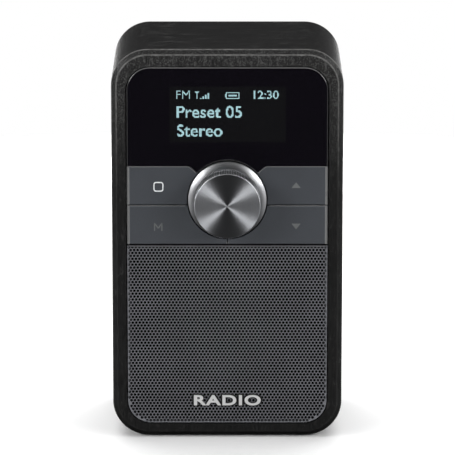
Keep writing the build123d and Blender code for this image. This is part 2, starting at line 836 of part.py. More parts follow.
with BuildPart() as rear_panel:
    with BuildSketch(facing(rear_face_y)):
        with Locations((0, opening_mid_z)):
            RectangleRounded(panel_width, panel_height, panel_radius)
    extrude(amount=rear_face_y - rear_ledge_y)
    fillet(rear_panel.faces().sort_by(Axis.Y)[-1].edges(), radius=0.6)
    with BuildSketch(facing(rear_plate_y)):
        with Locations((0, opening_mid_z)):
            RectangleRounded(bore_width, bore_height, bore_radius)
    extrude(amount=rear_plate_y - rear_ledge_y, mode=Mode.SUBTRACT)
    with BuildSketch(facing(rear_plate_y)):
        with Locations(*clamp_post_places):
            Circle(rear_post_radius)
    extrude(amount=rear_plate_y - main_board_back_y)
    with BuildSketch(facing(rear_face_y)):
        with Locations(*clamp_post_places):
            Circle(rear_well_radius)
    extrude(amount=rear_face_y - main_board_back_y - rear_floor, mode=Mode.SUBTRACT)
    with BuildSketch(facing(rear_face_y)):
        with Locations(*clamp_post_places):
            Circle(clamp_pilot_radius + 0.2)
        with Locations((usb_x, usb_z)):
            RectangleRounded(usb_width + 0.5, usb_height + 0.5, 1.7)
        with Locations((jack_x, jack_z)):
            Circle(jack_collar_radius + 0.15)
        with Locations((antenna_x, antenna_z)):
            Circle(antenna_sleeve_radius + 0.05)
    extrude(amount=rear_face_y - main_board_back_y, mode=Mode.SUBTRACT)
    with BuildSketch(Plane.XY.offset(io_board_z)):
        with Locations((-io_ledge_x, 16.4), (io_ledge_x, 16.4)):
            Rectangle(4.0, 2 * (rear_plate_y - 16.4))
    extrude(amount=-3.0)
    with BuildSketch(Plane.XY.offset(io_board_z)):
        with Locations((-io_ledge_x, 13.0), (io_ledge_x, 13.0)):
            Circle(pilot_radius)
    extrude(amount=-3.0, mode=Mode.SUBTRACT)
save(rear_panel, "rear_panel")

save_placed(
    "rear_screws",
    pan_screw(12.5, 1.2, rear_screw_head_radius, 1.8),
    *[(x, main_board_back_y + rear_floor, z) for x, z in clamp_post_places],
)

# ---------------------------------------------------------------- socket board
with BuildPart() as io_board:
    with BuildSketch(Plane.XY.offset(io_board_z)):
        with Locations((0, 15.6)):
            Rectangle(36.0, 13.6)
        with Locations((-io_ledge_x, 13.0), (io_ledge_x, 13.0)):
            Circle(pilot_radius + 0.15, mode=Mode.SUBTRACT)
    extrude(amount=board_thickness)
save(io_board, "io_board")

with BuildPart() as io_screws:
    with BuildSketch(Plane.XY.offset(io_board_top_z)):
        with Locations((-io_ledge_x, 13.0), (io_ledge_x, 13.0)):
            Circle(screw_radius)
    extrude(amount=-4.0)
    with BuildSketch(Plane.XY.offset(io_board_top_z)):
        with Locations((-io_ledge_x, 13.0), (io_ledge_x, 13.0)):
            Circle(screw_head_radius)
    extrude(amount=screw_head_height)
save(io_screws, "io_screws")

usb_wall = 0.3
with BuildPart() as usb_socket:
    with BuildSketch(facing(usb_back_y)):
        with Locations((usb_x, usb_z)):
            RectangleRounded(usb_width, usb_height, 1.6)
    extrude(amount=usb_back_y - usb_front_y)
    with BuildSketch(facing(usb_back_y)):
        with Locations((usb_x, usb_z)):
            RectangleRounded(usb_width - 2 * usb_wall, usb_height - 2 * usb_wall, 1.6 - usb_wall)
            Rectangle(6.7, 0.7, mode=Mode.SUBTRACT)
    extrude(amount=6.2, mode=Mode.SUBTRACT)
save(usb_socket, "usb_socket")

with BuildPart() as headphone_socket:
    with BuildSketch(facing(rear_plate_y - 0.1)):
        with Locations((jack_x, jack_z)):
            Rectangle(6.4, 2 * (jack_z - io_board_top_z))
    extrude(amount=rear_plate_y - 0.1 - jack_body_front_y)
    with BuildSketch(facing(jack_face_y)):
        with Locations((jack_x, jack_z)):
            Circle(jack_collar_radius)
    extrude(amount=jack_face_y - rear_plate_y + 0.1)
    with BuildSketch(facing(jack_face_y)):
        with Locations((jack_x, jack_z)):
            Circle(jack_bore_radius)
    extrude(amount=13.0, mode=Mode.SUBTRACT)
save(headphone_socket, "headphone_socket")

# ---------------------------------------------------------------- antenna
antenna_rod_y = 31.8
antenna_disc_radius = 5.2
antenna_disc_height = 1.8
turret_radius = 4.6
turret_base_y = rear_face_y + antenna_disc_height + 0.1
turret_top_y = turret_base_y + 1.6
spigot_radius = 2.0
sleeve_front_y = 20.6
cheek_gap = 5.5
cheek_thickness = 1.4
cheek_radius = 3.0
pin_radius = 0.9
eye_radius = 2.8
eye_width = 5.3

antenna_base_section = [
    (spigot_radius + 0.05, sleeve_front_y),
    (antenna_sleeve_radius, sleeve_front_y),
    (antenna_sleeve_radius, rear_face_y),
    (antenna_disc_radius, rear_face_y),
    (antenna_disc_radius, rear_face_y + antenna_disc_height),
    (spigot_radius + 0.05, rear_face_y + antenna_disc_height),
]
save_placed("antenna_base", turned(antenna_base_section), (antenna_x, 0, antenna_z))

with BuildPart() as antenna_nut:
    with BuildSketch(facing(rear_plate_y)):
        with Locations((antenna_x, antenna_z)):
            RegularPolygon(4.6, 6)
            Circle(antenna_sleeve_radius + 0.02, mode=Mode.SUBTRACT)
    extrude(amount=1.8)
save(antenna_nut, "antenna_nut")

with BuildPart() as antenna_turret:
    with BuildSketch(facing(turret_top_y)):
        with Locations((antenna_x, antenna_z)):
            Circle(turret_radius)
    extrude(amount=turret_top_y - turret_base_y)
    with BuildSketch(facing(turret_base_y)):
        with Locations((antenna_x, antenna_z)):
            Circle(spigot_radius)
    extrude(amount=turret_base_y - sleeve_front_y + 0.6)
    with BuildSketch(facing(sleeve_front_y - 0.1)):
        with Locations((antenna_x, antenna_z)):
            Circle(spigot_radius + 0.8)
    extrude(amount=0.5)
    for inner_x in (antenna_x - cheek_gap / 2 - cheek_thickness, antenna_x + cheek_gap / 2):
        with BuildSketch(Plane.YZ.offset(inner_x)):
            with Locations((antenna_rod_y, antenna_z)):
                Circle(cheek_radius)
            with Locations(((turret_top_y + antenna_rod_y) / 2, antenna_z)):
                Rectangle(antenna_rod_y - turret_top_y, 2 * cheek_radius)
            with Locations((antenna_rod_y, antenna_z)):
                Circle(pin_radius, mode=Mode.SUBTRACT)
        extrude(amount=cheek_thickness)
save(antenna_turret, "antenna_turret")

with BuildPart() as antenna_pin:
    pin_length = cheek_gap + 2 * cheek_thickness
    with BuildSketch(Plane.YZ.offset(antenna_x - pin_length / 2)):
        with Locations((antenna_rod_y, antenna_z)):
            Circle(pin_radius)
    extrude(amount=pin_length)
save(antenna_pin, "antenna_pin")

# Each tube ends a little below the one that it slides in. Radii are outer, inner.
rod_top_z = base_z + 114.6
rod_low_z = base_z + 25.0
rod_step = 0.8
section_radii = ((2.6, 2.2), (2.12, 1.74), (1.66, 1.28), (1.2, 0.0))
section_tops = (rod_top_z, base_z + 111.0, base_z + 110.5, base_z + 110.0)

for index, (outer, inner) in enumerate(section_radii):
    low_z = rod_low_z - index * rod_step
    with BuildPart() as section:
        with BuildSketch(Plane.XY.offset(low_z)):
            with Locations((antenna_x, antenna_rod_y)):
                Circle(outer)
                if inner:
                    Circle(inner, mode=Mode.SUBTRACT)
        extrude(amount=section_tops[index] - low_z)
        if index == 0:
            with BuildSketch(Plane.XY.offset(rod_top_z - 1.2)):
                with Locations((antenna_x, antenna_rod_y)):
                    Circle(outer)
            extrude(amount=antenna_z - rod_top_z + 1.2)
            with BuildSketch(Plane.YZ.offset(antenna_x - eye_width / 2)):
                with Locations((antenna_rod_y, antenna_z)):
                    Circle(eye_radius)
            extrude(amount=eye_width)
            with BuildSketch(Plane.YZ.offset(antenna_x - eye_width / 2)):
                with Locations((antenna_rod_y, antenna_z)):
                    Circle(pin_radius + 0.05)
            extrude(amount=eye_width, mode=Mode.SUBTRACT)
    save(section, f"antenna_section_{index + 1}")

tip_high_z = rod_low_z - 3 * rod_step
tip_height = 3.6
with BuildPart() as antenna_tip:
    with BuildSketch(Plane.XY.offset(tip_high_z - tip_height)):
        with Locations((antenna_x, antenna_rod_y)):
            Circle(2.6)
    extrude(amount=tip_height)
    fillet(antenna_tip.edges().filter_by(GeomType.CIRCLE), radius=0.8)
save(antenna_tip, "antenna_tip")
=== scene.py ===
import json
import math

import bmesh
import bpy
from mathutils import Matrix, Vector
from mathutils.bvhtree import BVHTree
from mathutils.geometry import delaunay_2d_cdt
from mathutils.kdtree import KDTree


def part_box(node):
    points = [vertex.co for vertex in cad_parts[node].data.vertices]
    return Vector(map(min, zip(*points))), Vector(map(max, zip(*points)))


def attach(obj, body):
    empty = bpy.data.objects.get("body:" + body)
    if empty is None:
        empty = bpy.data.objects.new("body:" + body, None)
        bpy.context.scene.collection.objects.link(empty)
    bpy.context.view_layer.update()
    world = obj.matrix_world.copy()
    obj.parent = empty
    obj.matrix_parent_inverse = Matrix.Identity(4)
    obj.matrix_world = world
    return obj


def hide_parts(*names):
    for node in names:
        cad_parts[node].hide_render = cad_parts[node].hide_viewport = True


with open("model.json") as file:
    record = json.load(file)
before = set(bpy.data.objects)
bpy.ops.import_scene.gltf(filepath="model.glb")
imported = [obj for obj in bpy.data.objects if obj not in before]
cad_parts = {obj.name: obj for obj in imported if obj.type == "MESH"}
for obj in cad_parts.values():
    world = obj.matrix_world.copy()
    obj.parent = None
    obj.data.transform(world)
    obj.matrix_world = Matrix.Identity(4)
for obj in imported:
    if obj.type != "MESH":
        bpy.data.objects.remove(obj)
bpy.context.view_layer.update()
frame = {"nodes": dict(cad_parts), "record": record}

scene = bpy.context.scene
mm = 0.001


def boxOf(node):
    low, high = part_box(node)
    return Vector(low), Vector(high)


def middleOf(node):
    low, high = boxOf(node)
    return (low + high) / 2


def addPiece(name, mesh, finish, body, sharpDegrees=35, pose=None):
    # makes the object, shades it smooth up to a sharp angle, and sets it on its body
    mesh.polygons.foreach_set("use_smooth", [True] * len(mesh.polygons))
    mesh.set_sharp_from_angle(angle=math.radians(sharpDegrees))
    piece = bpy.data.objects.new(name, mesh)
    scene.collection.objects.link(piece)
    if pose:
        piece.matrix_world = pose
    piece.data.materials.clear()
    piece.data.materials.append(finish)
    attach(piece, body)
    return piece


def meshFrom(name, bm):
    bmesh.ops.recalc_face_normals(bm, faces=bm.faces[:])
    mesh = bpy.data.meshes.new(name)
    bm.to_mesh(mesh)
    bm.free()
    return mesh


def roundedOutline(low, high, radii, steps=10):
    # points round a rectangle in (x, z); radii are for bottom left, bottom right, top right, top left
    (x0, z0), (x1, z1) = low, high
    corners = ((x0, z0, 1, 1, 180), (x1, z0, -1, 1, 270), (x1, z1, -1, -1, 0), (x0, z1, 1, -1, 90))
    points = []
    for (x, z, sx, sz, start), radius in zip(corners, radii):
        for i in range(steps + 1):
            a = math.radians(start + 90 * i / steps)
            points.append((x + sx * radius + radius * math.cos(a), z + sz * radius + radius * math.sin(a)))
    return points


def slabMesh(name, polygons, backY, frontY):
    # closed flat shapes that stand from backY to frontY; each polygon is a list of (x, z)
    bm = bmesh.new()
    for polygon in polygons:
        back = [bm.verts.new((x, backY, z)) for x, z in polygon]
        front = [bm.verts.new((x, frontY, z)) for x, z in polygon]
        bm.faces.new(back)
        bm.faces.new(front)
        for i in range(len(polygon)):
            j = (i + 1) % len(polygon)
            bm.faces.new((back[i], back[j], front[j], front[i]))
    return meshFrom(name, bm)


def textMesh(words, bold=0.0, spacing=1.0):
    # flat letters as a mesh in their own plane, one unit high; bold thickens every stroke
    curve = bpy.data.curves.new("letters", "FONT")
    curve.body = words
    curve.space_character = spacing
    curve.offset = bold
    holder = bpy.data.objects.new("letters", curve)
    scene.collection.objects.link(holder)
    bpy.context.view_layer.update()
    shape = bpy.data.meshes.new_from_object(holder.evaluated_get(bpy.context.evaluated_depsgraph_get()))
    bpy.data.objects.remove(holder)
    return shape


class Wire:
    # one output socket; an expression on it adds Math nodes
    def __init__(self, paint, socket):
        self.paint = paint
        self.socket = socket

    def math(self, operation, *values):
        return self.paint.node("Math", {"operation": operation}, dict(enumerate(values)))

    def __add__(self, other):
        return self.math("ADD", self, other)

    def __radd__(self, other):
        return self.math("ADD", other, self)

    def __sub__(self, other):
        return self.math("SUBTRACT", self, other)

    def __rsub__(self, other):
        return self.math("SUBTRACT", other, self)

    def __mul__(self, other):
        return self.math("MULTIPLY", self, other)

    def __rmul__(self, other):
        return self.math("MULTIPLY", other, self)

    def __pow__(self, other):
        return self.math("POWER", self, other)

    def __abs__(self):
        return self.math("ABSOLUTE", self)

    def most(self, other):
        return self.math("MAXIMUM", self, other)

    def least(self, other):
        return self.math("MINIMUM", self, other)

    def sine(self):
        return self.math("SINE", self)

    def ramp(self, low, high):
        # 0 at low, 1 at high, smooth between
        settings = {"interpolation_type": "SMOOTHSTEP"}
        return self.paint.node("MapRange", settings, {"Value": self, "From Min": low, "From Max": high})


class Paint:
    # one material: a Principled shader and the nodes that feed it
    def __init__(self, name, **values):
        self.material = bpy.data.materials.new(name)
        self.material.use_nodes = True
        self.tree = self.material.node_tree
        self.tree.nodes.clear()
        self.skin = self.tree.nodes.new("ShaderNodeBsdfPrincipled")
        out = self.tree.nodes.new("ShaderNodeOutputMaterial")
        self.tree.links.new(self.skin.outputs[0], out.inputs[0])
        self.set(**values)

    def plug(self, socket, value):
        if isinstance(value, Wire):
            self.tree.links.new(value.socket, socket)
        elif hasattr(socket.default_value, "__len__") and len(socket.default_value) == 4:
            socket.default_value = (*value[:3], 1.0)
        else:
            socket.default_value = value

    def node(self, kind, settings=None, values=None, output=0):
        made = self.tree.nodes.new("ShaderNode" + kind)
        for key, value in (settings or {}).items():
            setattr(made, key, value)
        for key, value in (values or {}).items():
            self.plug(made.inputs[key], value)
        return Wire(self, made.outputs[output])

    def set(self, **values):
        # Base_Color=... sets or links the shader's own socket
        for key, value in values.items():
            self.plug(self.skin.inputs[key.replace("_", " ")], value)

    def split(self, kind):
        # x, y and z: of the place for "Object", of the way the surface faces for "Normal"
        made = self.node("SeparateXYZ", None, {0: self.node("TexCoord", output=kind)})
        return [Wire(self, socket) for socket in made.socket.node.outputs]

    def place(self, scale=(1, 1, 1)):
        # the place on the object, squeezed where scale is under 1, so a pattern is drawn out there
        at = self.node("TexCoord", output="Object")
        return self.node("Mapping", {"vector_type": "POINT"}, {"Vector": at, "Scale": scale})

    def noise(self, scale, detail=3.0, rough=0.55, vector=None, warp=0.0):
        values = {"Vector": vector or self.place(), "Scale": scale, "Detail": detail}
        values.update({"Roughness": rough, "Distortion": warp})
        return self.node("TexNoise", None, values)

    def rings(self, along, scale, detail):
        # noise that changes only with one value, such as the distance from an axis
        values = {"W": along, "Scale": scale, "Detail": detail}
        return self.node("TexNoise", {"noise_dimensions": "1D"}, values)

    def mix(self, factor, first, second):
        return self.node("Mix", {"data_type": "RGBA"}, {0: factor, 6: first, 7: second}, output=2)

    def bump(self, height, distance, strength):
        return self.node("Bump", None, {"Height": height, "Distance": distance, "Strength": strength})


def grey(value, tint=(1, 1, 1)):
    # an even grey, or a share of the colour given as tint
    return tuple(value * t for t in tint)


cabinetShape = {"cornerRadius": 12.0 * mm, "chamfer": 1.7 * mm}  # the CAD sleeve's own


woodLook = {
    "dark": grey(0.0045, (1.0, 0.99, 0.98)),
    "light": grey(0.0135, (1.0, 0.99, 0.98)),
    # raised: painted highlight colour that pales the front towards its top
    "raised": grey(0.032, (1.0, 0.99, 0.98)),
    "fleck": grey(0.085, (1.0, 0.99, 0.98)),
    # worn: pale colour for the scratches on top, which are wear, and for the painted highlight and painted
    # reflection on the edges and near the rear
    "worn": grey(0.17, (1.0, 0.99, 0.97)),
    "roughness": 0.40,
    "poreDepth": 0.00012,
    "fibre": 2300.0,  # fibres per metre across the grain
    # strength and width of the painted highlight along the chamfer's edges
    "edgeHighlightStrength": 0.75,
    "edgeHighlightWidth": 0.30 * mm,
    "rearReflection": (3.5 * mm, 0.8 * mm),  # painted reflection: from where to where the top pales before its rear edge
}


def blackWood():
    # stained veneer: its grain runs round the sleeve, so along X on top and along Z at the sides and front
    paint = Paint("blackStainedWood", Specular_IOR_Level=0.35)
    across = woodLook["fibre"]
    _, facingY, facingZ = paint.split("Normal")
    faceUp = abs(facingZ).ramp(0.62, 0.78)
    front = abs(facingY).ramp(0.5, 0.8)
    x, y, z = paint.split("Object")

    def grain(scale, detail, along=0.12, warp=0.3):
        lying = paint.noise(scale, detail, 0.6, paint.place((along * 0.4, 1, 1)), warp)
        upright = paint.noise(scale, detail, 0.6, paint.place((1, 1, along)), warp)
        return faceUp * lying + (1 - faceUp) * upright

    fibres = grain(across, 4.0)
    bands = grain(across * 0.12, 3.0, 0.06, 0.8)
    pores = grain(across * 0.8, 1.5).ramp(0.58, 0.68)
    flecks = grain(across * 0.42, 5.0, 0.3, 1.2).ramp(0.54, 0.70)
    patches = paint.noise(150, 3.0).ramp(0.38, 0.62)
    low, high = boxOf("cabinet")
    half = (high - low) / 2
    centre = (high + low) / 2
    lightFromAbove = z.ramp(low.z + 1.2 * half.z, high.z)  # grows from just above the middle to the top; the mask for the painted light and shade on the front
    upper = lightFromAbove * front
    speckle = paint.noise(2600, 3.0).ramp(0.50, 0.62)
    scratches = grain(across * 0.8, 2.0, 0.10, 0.3).ramp(0.63, 0.69)
    tone = paint.mix(fibres.ramp(0.35, 0.7), woodLook["dark"], woodLook["light"])
    tone = paint.mix(bands.ramp(0.4, 0.7) * 0.5, tone, grey(0.008))
    # painted shade: the top face and the lower part of the front are darkened towards near black
    tone = paint.mix((1 - lightFromAbove) * front * 0.2 + faceUp * 0.55, tone, grey(0.002))
    # painted highlight: the front pales towards its top, with pale specks there
    tone = paint.mix(upper * 0.12, tone, woodLook["raised"])
    tone = paint.mix(upper * speckle * 0.7, tone, woodLook["fleck"])
    tone = paint.mix(scratches * faceUp * 0.5, tone, woodLook["worn"])
    # grain flecks, drawn stronger towards the top of the front as painted highlight
    tone = paint.mix(flecks * (0.15 + 0.4 * patches) * (0.5 + 1.2 * upper), tone, woodLook["fleck"])
    tone = paint.mix(pores * 0.8, tone, grey(0.002))

    # painted highlight along the chamfer's edges, fading towards the bottom as if lit from above, broken
    # up by noise
    corner, chamfer = cabinetShape["cornerRadius"], cabinetShape["chamfer"]
    outX = abs(x - centre.x) - (half.x - corner)
    outZ = abs(z - centre.z) - (half.z - corner)
    cornerX, cornerZ = outX.most(0.0), outZ.most(0.0)
    rim = (cornerX * cornerX + cornerZ * cornerZ) ** 0.5 + outX.most(outZ).least(0.0) - corner
    thin, wide = woodLook["edgeHighlightWidth"] * 0.4, woodLook["edgeHighlightWidth"] * 1.3
    onFace = abs(y).ramp(half.y - 0.6 * mm, half.y - 0.2 * mm)
    sideEdge = 1 - abs(abs(y) - (half.y - chamfer)).ramp(thin, wide)
    faceEdge = (1 - abs(rim + chamfer).ramp(thin, wide)) * onFace
    highlightBreakup = paint.noise(420, 5.0, 0.7).ramp(0.3, 0.7)
    edgeHighlight = (sideEdge * (0.55 + 0.45 * lightFromAbove)).most(faceEdge * (0.06 + 0.94 * lightFromAbove)) * (0.35 + 0.65 * highlightBreakup)
    far, near = woodLook["rearReflection"]
    # painted reflection: the top pales towards its rear edge
    tone = paint.mix(y.ramp(half.y - far, half.y - near) * faceUp * 0.3, tone, woodLook["worn"])
    # painted highlight on the chamfer's edges, in the pale colour
    tone = paint.mix(edgeHighlight * woodLook["edgeHighlightStrength"], tone, woodLook["worn"])
    height = fibres * 0.4 - pores * 0.9 + bands * 0.2
    paint.set(
        Base_Color=tone,
        Roughness=woodLook["roughness"] + 0.18 * fibres - 0.08 * flecks - 0.1 * edgeHighlight,
        Normal=paint.bump(height, woodLook["poreDepth"], 0.5),
    )
    return paint.material


def mouldedPlastic(name, colour, roughness, texture=0.00002, coat=0.0, grainScale=4200):
    # moulded plastic with a fine spark texture and slight patches of sheen
    paint = Paint(name, Specular_IOR_Level=0.5, Coat_Roughness=0.2)
    fine = paint.noise(grainScale, 2.0)
    wide = paint.noise(120, 3.0)
    tone = paint.mix(wide.ramp(0.3, 0.7), colour, grey(0.9, colour))
    tone = paint.mix(fine.ramp(0.45, 0.75) * 0.3, tone, grey(1.25, colour))
    paint.set(
        Base_Color=tone,
        Roughness=roughness + 0.1 * (wide - 0.5) + 0.06 * fine,
        Normal=paint.bump(fine, texture, 0.6),
        Coat_Weight=coat,
    )
    return paint.material


def softRubber(name, colour, roughness=0.75):
    paint = Paint(name, Specular_IOR_Level=0.35)
    fine = paint.noise(2600, 4.0)
    dust = paint.noise(300, 5.0).ramp(0.55, 0.8)
    paint.set(
        Base_Color=paint.mix(dust * 0.35, colour, grey(3.0, colour)),
        Roughness=roughness + 0.15 * fine,
        Normal=paint.bump(fine, 0.00004, 0.7),
    )
    return paint.material


def turnedMetal(name, colour, roughness, axis="Z", lines=6000, metallic=1.0, scratch=0.000004):
    # metal with fine drawn lines along one axis
    paint = Paint(name, Metallic=metallic)
    squeeze = {"X": (0.02, 1, 1), "Y": (1, 0.02, 1), "Z": (1, 1, 0.02)}[axis]
    drawn = paint.noise(lines, 3.0, 0.6, paint.place(squeeze))
    smudge = paint.noise(160, 4.0).ramp(0.4, 0.75)
    paint.set(
        Base_Color=paint.mix(smudge * 0.35, colour, grey(0.86, colour)),
        Roughness=roughness + 0.12 * drawn + 0.06 * smudge,
        Normal=paint.bump(drawn, scratch, 0.5),
    )
    return paint.material


def windowGloss():
    # black acrylic with a hard gloss and a trace of dust, and a painted highlight on its bevel
    paint = Paint("windowGloss", Specular_IOR_Level=0.5, Coat_Roughness=0.03)
    dust = paint.noise(1800, 2.0).ramp(0.68, 0.8)
    haze = paint.noise(60, 2.0)
    _, facingY, facingZ = paint.split("Normal")
    forward = abs(facingY)
    edge = forward.ramp(0.3, 0.5) * (1 - forward.ramp(0.80, 0.93))
    up = facingZ.ramp(0.1, 0.4)
    tone = paint.mix(dust * 0.25, (0.0034, 0.0028, 0.0046), grey(0.03))
    paint.set(
        # painted highlight on the bevel, brightest where it faces up
        Base_Color=paint.mix(edge * (0.25 + 0.75 * up), tone, grey(0.24)),
        Roughness=0.05 + 0.03 * haze + 0.1 * dust,
        Coat_Weight=0.3 * haze,
    )
    return paint.material


keyLook = {
    "base": (0.050, 0.055, 0.064),
    "sideEdge": grey(0.175),  # painted highlight down a key's sides
    "topEdge": grey(0.34),  # and along its top
    # painted shade in the gaps and on edges that face down
    "gap": grey(0.006),
    "plainRound": (13.6 * mm, 14.3 * mm),  # round the knob's middle, where an edge has no painted highlight
}


def satinKey():
    # satin lacquered keys, a cool dark grey, with painted highlights on their edges and painted shade in
    # the gaps
    paint = Paint("satinKey", Specular_IOR_Level=0.5)
    base = keyLook["base"]
    flake = paint.noise(3600, 2.0).ramp(0.45, 0.75)
    wide = paint.noise(70, 2.0)
    handled = paint.noise(260, 5.0).ramp(0.55, 0.75)
    tone = paint.mix(wide.ramp(0.3, 0.7), base, grey(0.92, base))
    tone = paint.mix(flake * 0.35, tone, grey(1.5, base))
    _, facingY, facingZ = paint.split("Normal")
    forward = abs(facingY)
    edge = forward.ramp(0.3, 0.55) * (1 - forward.ramp(0.935, 0.99))
    upward = facingZ.ramp(-0.4, -0.1)
    x, _, z = paint.split("Object")
    fromKnob = z - middleOf("tuning_knob").z
    clear = ((x * x + fromKnob * fromKnob) ** 0.5).ramp(*keyLook["plainRound"])
    line = paint.mix(facingZ.ramp(0.2, 0.5), keyLook["sideEdge"], keyLook["topEdge"])
    # painted highlight on the edges that face up or sideways, none round the knob
    tone = paint.mix(edge * clear * upward * 0.85, tone, line)
    # painted shade on faces turned away from the front and on edges that face down
    shaded = (1 - forward.ramp(0.05, 0.3)).most(edge * (1 - upward))
    tone = paint.mix(shaded, tone, keyLook["gap"])
    paint.set(
        Base_Color=tone,
        Roughness=0.40 + 0.05 * wide - 0.05 * handled - 0.12 * edge,
        Normal=paint.bump(paint.noise(5200, 2.0), 0.000006, 0.5),
    )
    return paint.material


def grilleCoat():
    # dark grey coat on steel; faces that turn sideways, such as the punched holes' walls, get painted
    # shade near black
    paint = Paint("grilleCoat", Specular_IOR_Level=0.6)
    fine = paint.noise(4800, 2.0)
    wide = paint.noise(90, 3.0)
    base = (0.198, 0.201, 0.220)
    front = abs(paint.split("Normal")[1]).ramp(0.1, 0.6)
    tone = paint.mix(wide.ramp(0.3, 0.7), base, grey(0.86, base))
    tone = paint.mix(fine.ramp(0.5, 0.8) * 0.3, tone, grey(1.6, base))
    paint.set(
        # painted shade: faces turned away from the front go near black
        Base_Color=paint.mix(front, grey(0.012), tone),
        Metallic=0.3 * front,
        Roughness=0.42 + 0.12 * fine,
        Normal=paint.bump(fine, 0.00001, 0.5),
    )
    return paint.material


def spunAluminium():
    # the knob's face: spun metal whose highlights fan out across the turned lines
    paint = Paint("spunAluminium", Metallic=1.0, Anisotropic=0.93, Anisotropic_Rotation=0.25)
    x, y, _ = paint.split("Object")
    ring = paint.rings((x * x + y * y) ** 0.5, 7000.0, 3.0)
    smudge = paint.noise(200, 3.0).ramp(0.35, 0.75)
    base = (0.82, 0.84, 0.88)
    tone = paint.mix(ring.ramp(0.3, 0.7) * 0.4, base, grey(0.74, base))
    paint.set(
        Base_Color=paint.mix(smudge * 0.15, tone, grey(0.85, base)),
        Roughness=0.36 + 0.05 * ring + 0.04 * smudge,
        Normal=paint.bump(ring, 0.000006, 0.4),
    )
    return paint.material


def turnedAluminium(name, base, roughness, crest=0.0, valley=1.0):
    # the knob's skirt, band and rim; on the knurl, painted shade darkens the metal from the crest's radius
    # in to the valley's, and a valley a metre out leaves no part shaded
    paint = Paint(name, Metallic=1.0)
    x, y, z = paint.split("Object")
    fill = ((x * x + y * y) ** 0.5).ramp(valley, crest)
    turned = paint.rings(z, 9000.0, 2.0)
    smudge = paint.noise(240, 3.0).ramp(0.35, 0.75)
    tone = paint.mix(turned * 0.4, base, grey(0.78, base))
    paint.set(
        # painted shade in the knurl's valleys
        Base_Color=paint.mix(fill, grey(0.04), tone),
        Roughness=roughness + 0.05 * turned + 0.04 * smudge,
    )
    return paint.material


def litDots():
    # pale cyan dots with a slight unevenness from dot to dot
    paint = Paint("litDots", Roughness=0.3)
    uneven = paint.noise(900, 1.0).ramp(0.2, 0.8)
    paint.set(
        Base_Color=(0.02, 0.03, 0.035),
        Emission_Color=paint.mix(uneven, (0.42, 0.68, 0.73), (0.54, 0.84, 0.89)),
        Emission_Strength=1.0,
    )
    return paint.material


def displayGlass():
    # the panel's own field, a shade lighter than the window round it
    paint = Paint("displayGlass", Specular_IOR_Level=0.5)
    haze = paint.noise(80, 2.0)
    tone = paint.mix(haze, (0.0050, 0.0050, 0.0058), (0.0062, 0.0062, 0.0070))
    paint.set(Base_Color=tone, Roughness=0.08 + 0.04 * haze)
    return paint.material


def printedInk(name, colour):
    paint = Paint(name, Specular_IOR_Level=0.4)
    worn = paint.noise(2400, 3.0).ramp(0.55, 0.8)
    paint.set(Base_Color=paint.mix(worn * 0.3, colour, grey(0.7, colour)), Roughness=0.45 + 0.1 * worn)
    return paint.material


def wovenCloth(name, colour, threads=2600.0):
    # over-and-under threads as a bump; threads are counted per metre
    paint = Paint(name, Specular_IOR_Level=0.2)
    x, _, z = paint.split("Object")
    warp = (x * threads * math.pi).sine()
    weft = (z * threads * math.pi).sine()
    weave = abs(warp * weft)
    paint.set(
        Base_Color=paint.mix(weave, grey(0.6, colour), grey(1.3, colour)),
        Roughness=0.85 + 0.1 * weave,
        Normal=paint.bump(weave, 0.00008, 0.8),
    )
    return paint.material


def circuitBoard():
    # green solder mask over copper tracks, which show as lighter lines
    paint = Paint("circuitBoard", Specular_IOR_Level=0.5)
    values = {"Vector": paint.place(), "Scale": 520.0}
    cells = paint.node("TexVoronoi", {"feature": "DISTANCE_TO_EDGE"}, values)
    tracks = 1 - cells.ramp(0.06, 0.12)
    wide = paint.noise(90, 2.0)
    tone = paint.mix(wide, (0.012, 0.085, 0.035), (0.016, 0.11, 0.045))
    paint.set(
        Base_Color=paint.mix(tracks * 0.7, tone, (0.03, 0.19, 0.08)),
        Roughness=0.32 + 0.1 * wide,
        Normal=paint.bump(tracks, 0.00003, 0.5),
        Coat_Weight=0.3 * wide,
    )
    return paint.material


def foilPouch():
    # crinkled silver laminate
    paint = Paint("foilPouch")
    creases = paint.noise(240, 4.0, 0.6, warp=1.5)
    paint.set(
        Base_Color=paint.mix(creases, (0.42, 0.43, 0.45), (0.6, 0.61, 0.63)),
        Metallic=0.6 + 0.2 * creases,
        Roughness=0.3 + 0.2 * creases,
        Normal=paint.bump(creases, 0.0002, 0.6),
    )
    return paint.material


def coatedPaper():
    paint = Paint("coatedPaper", Specular_IOR_Level=0.3)
    pulp = paint.noise(900, 5.0, 0.7)
    paint.set(
        Base_Color=paint.mix(pulp, grey(0.006), grey(0.022)),
        Roughness=0.7 + 0.2 * pulp,
        Normal=paint.bump(pulp, 0.00008, 0.7),
    )
    return paint.material


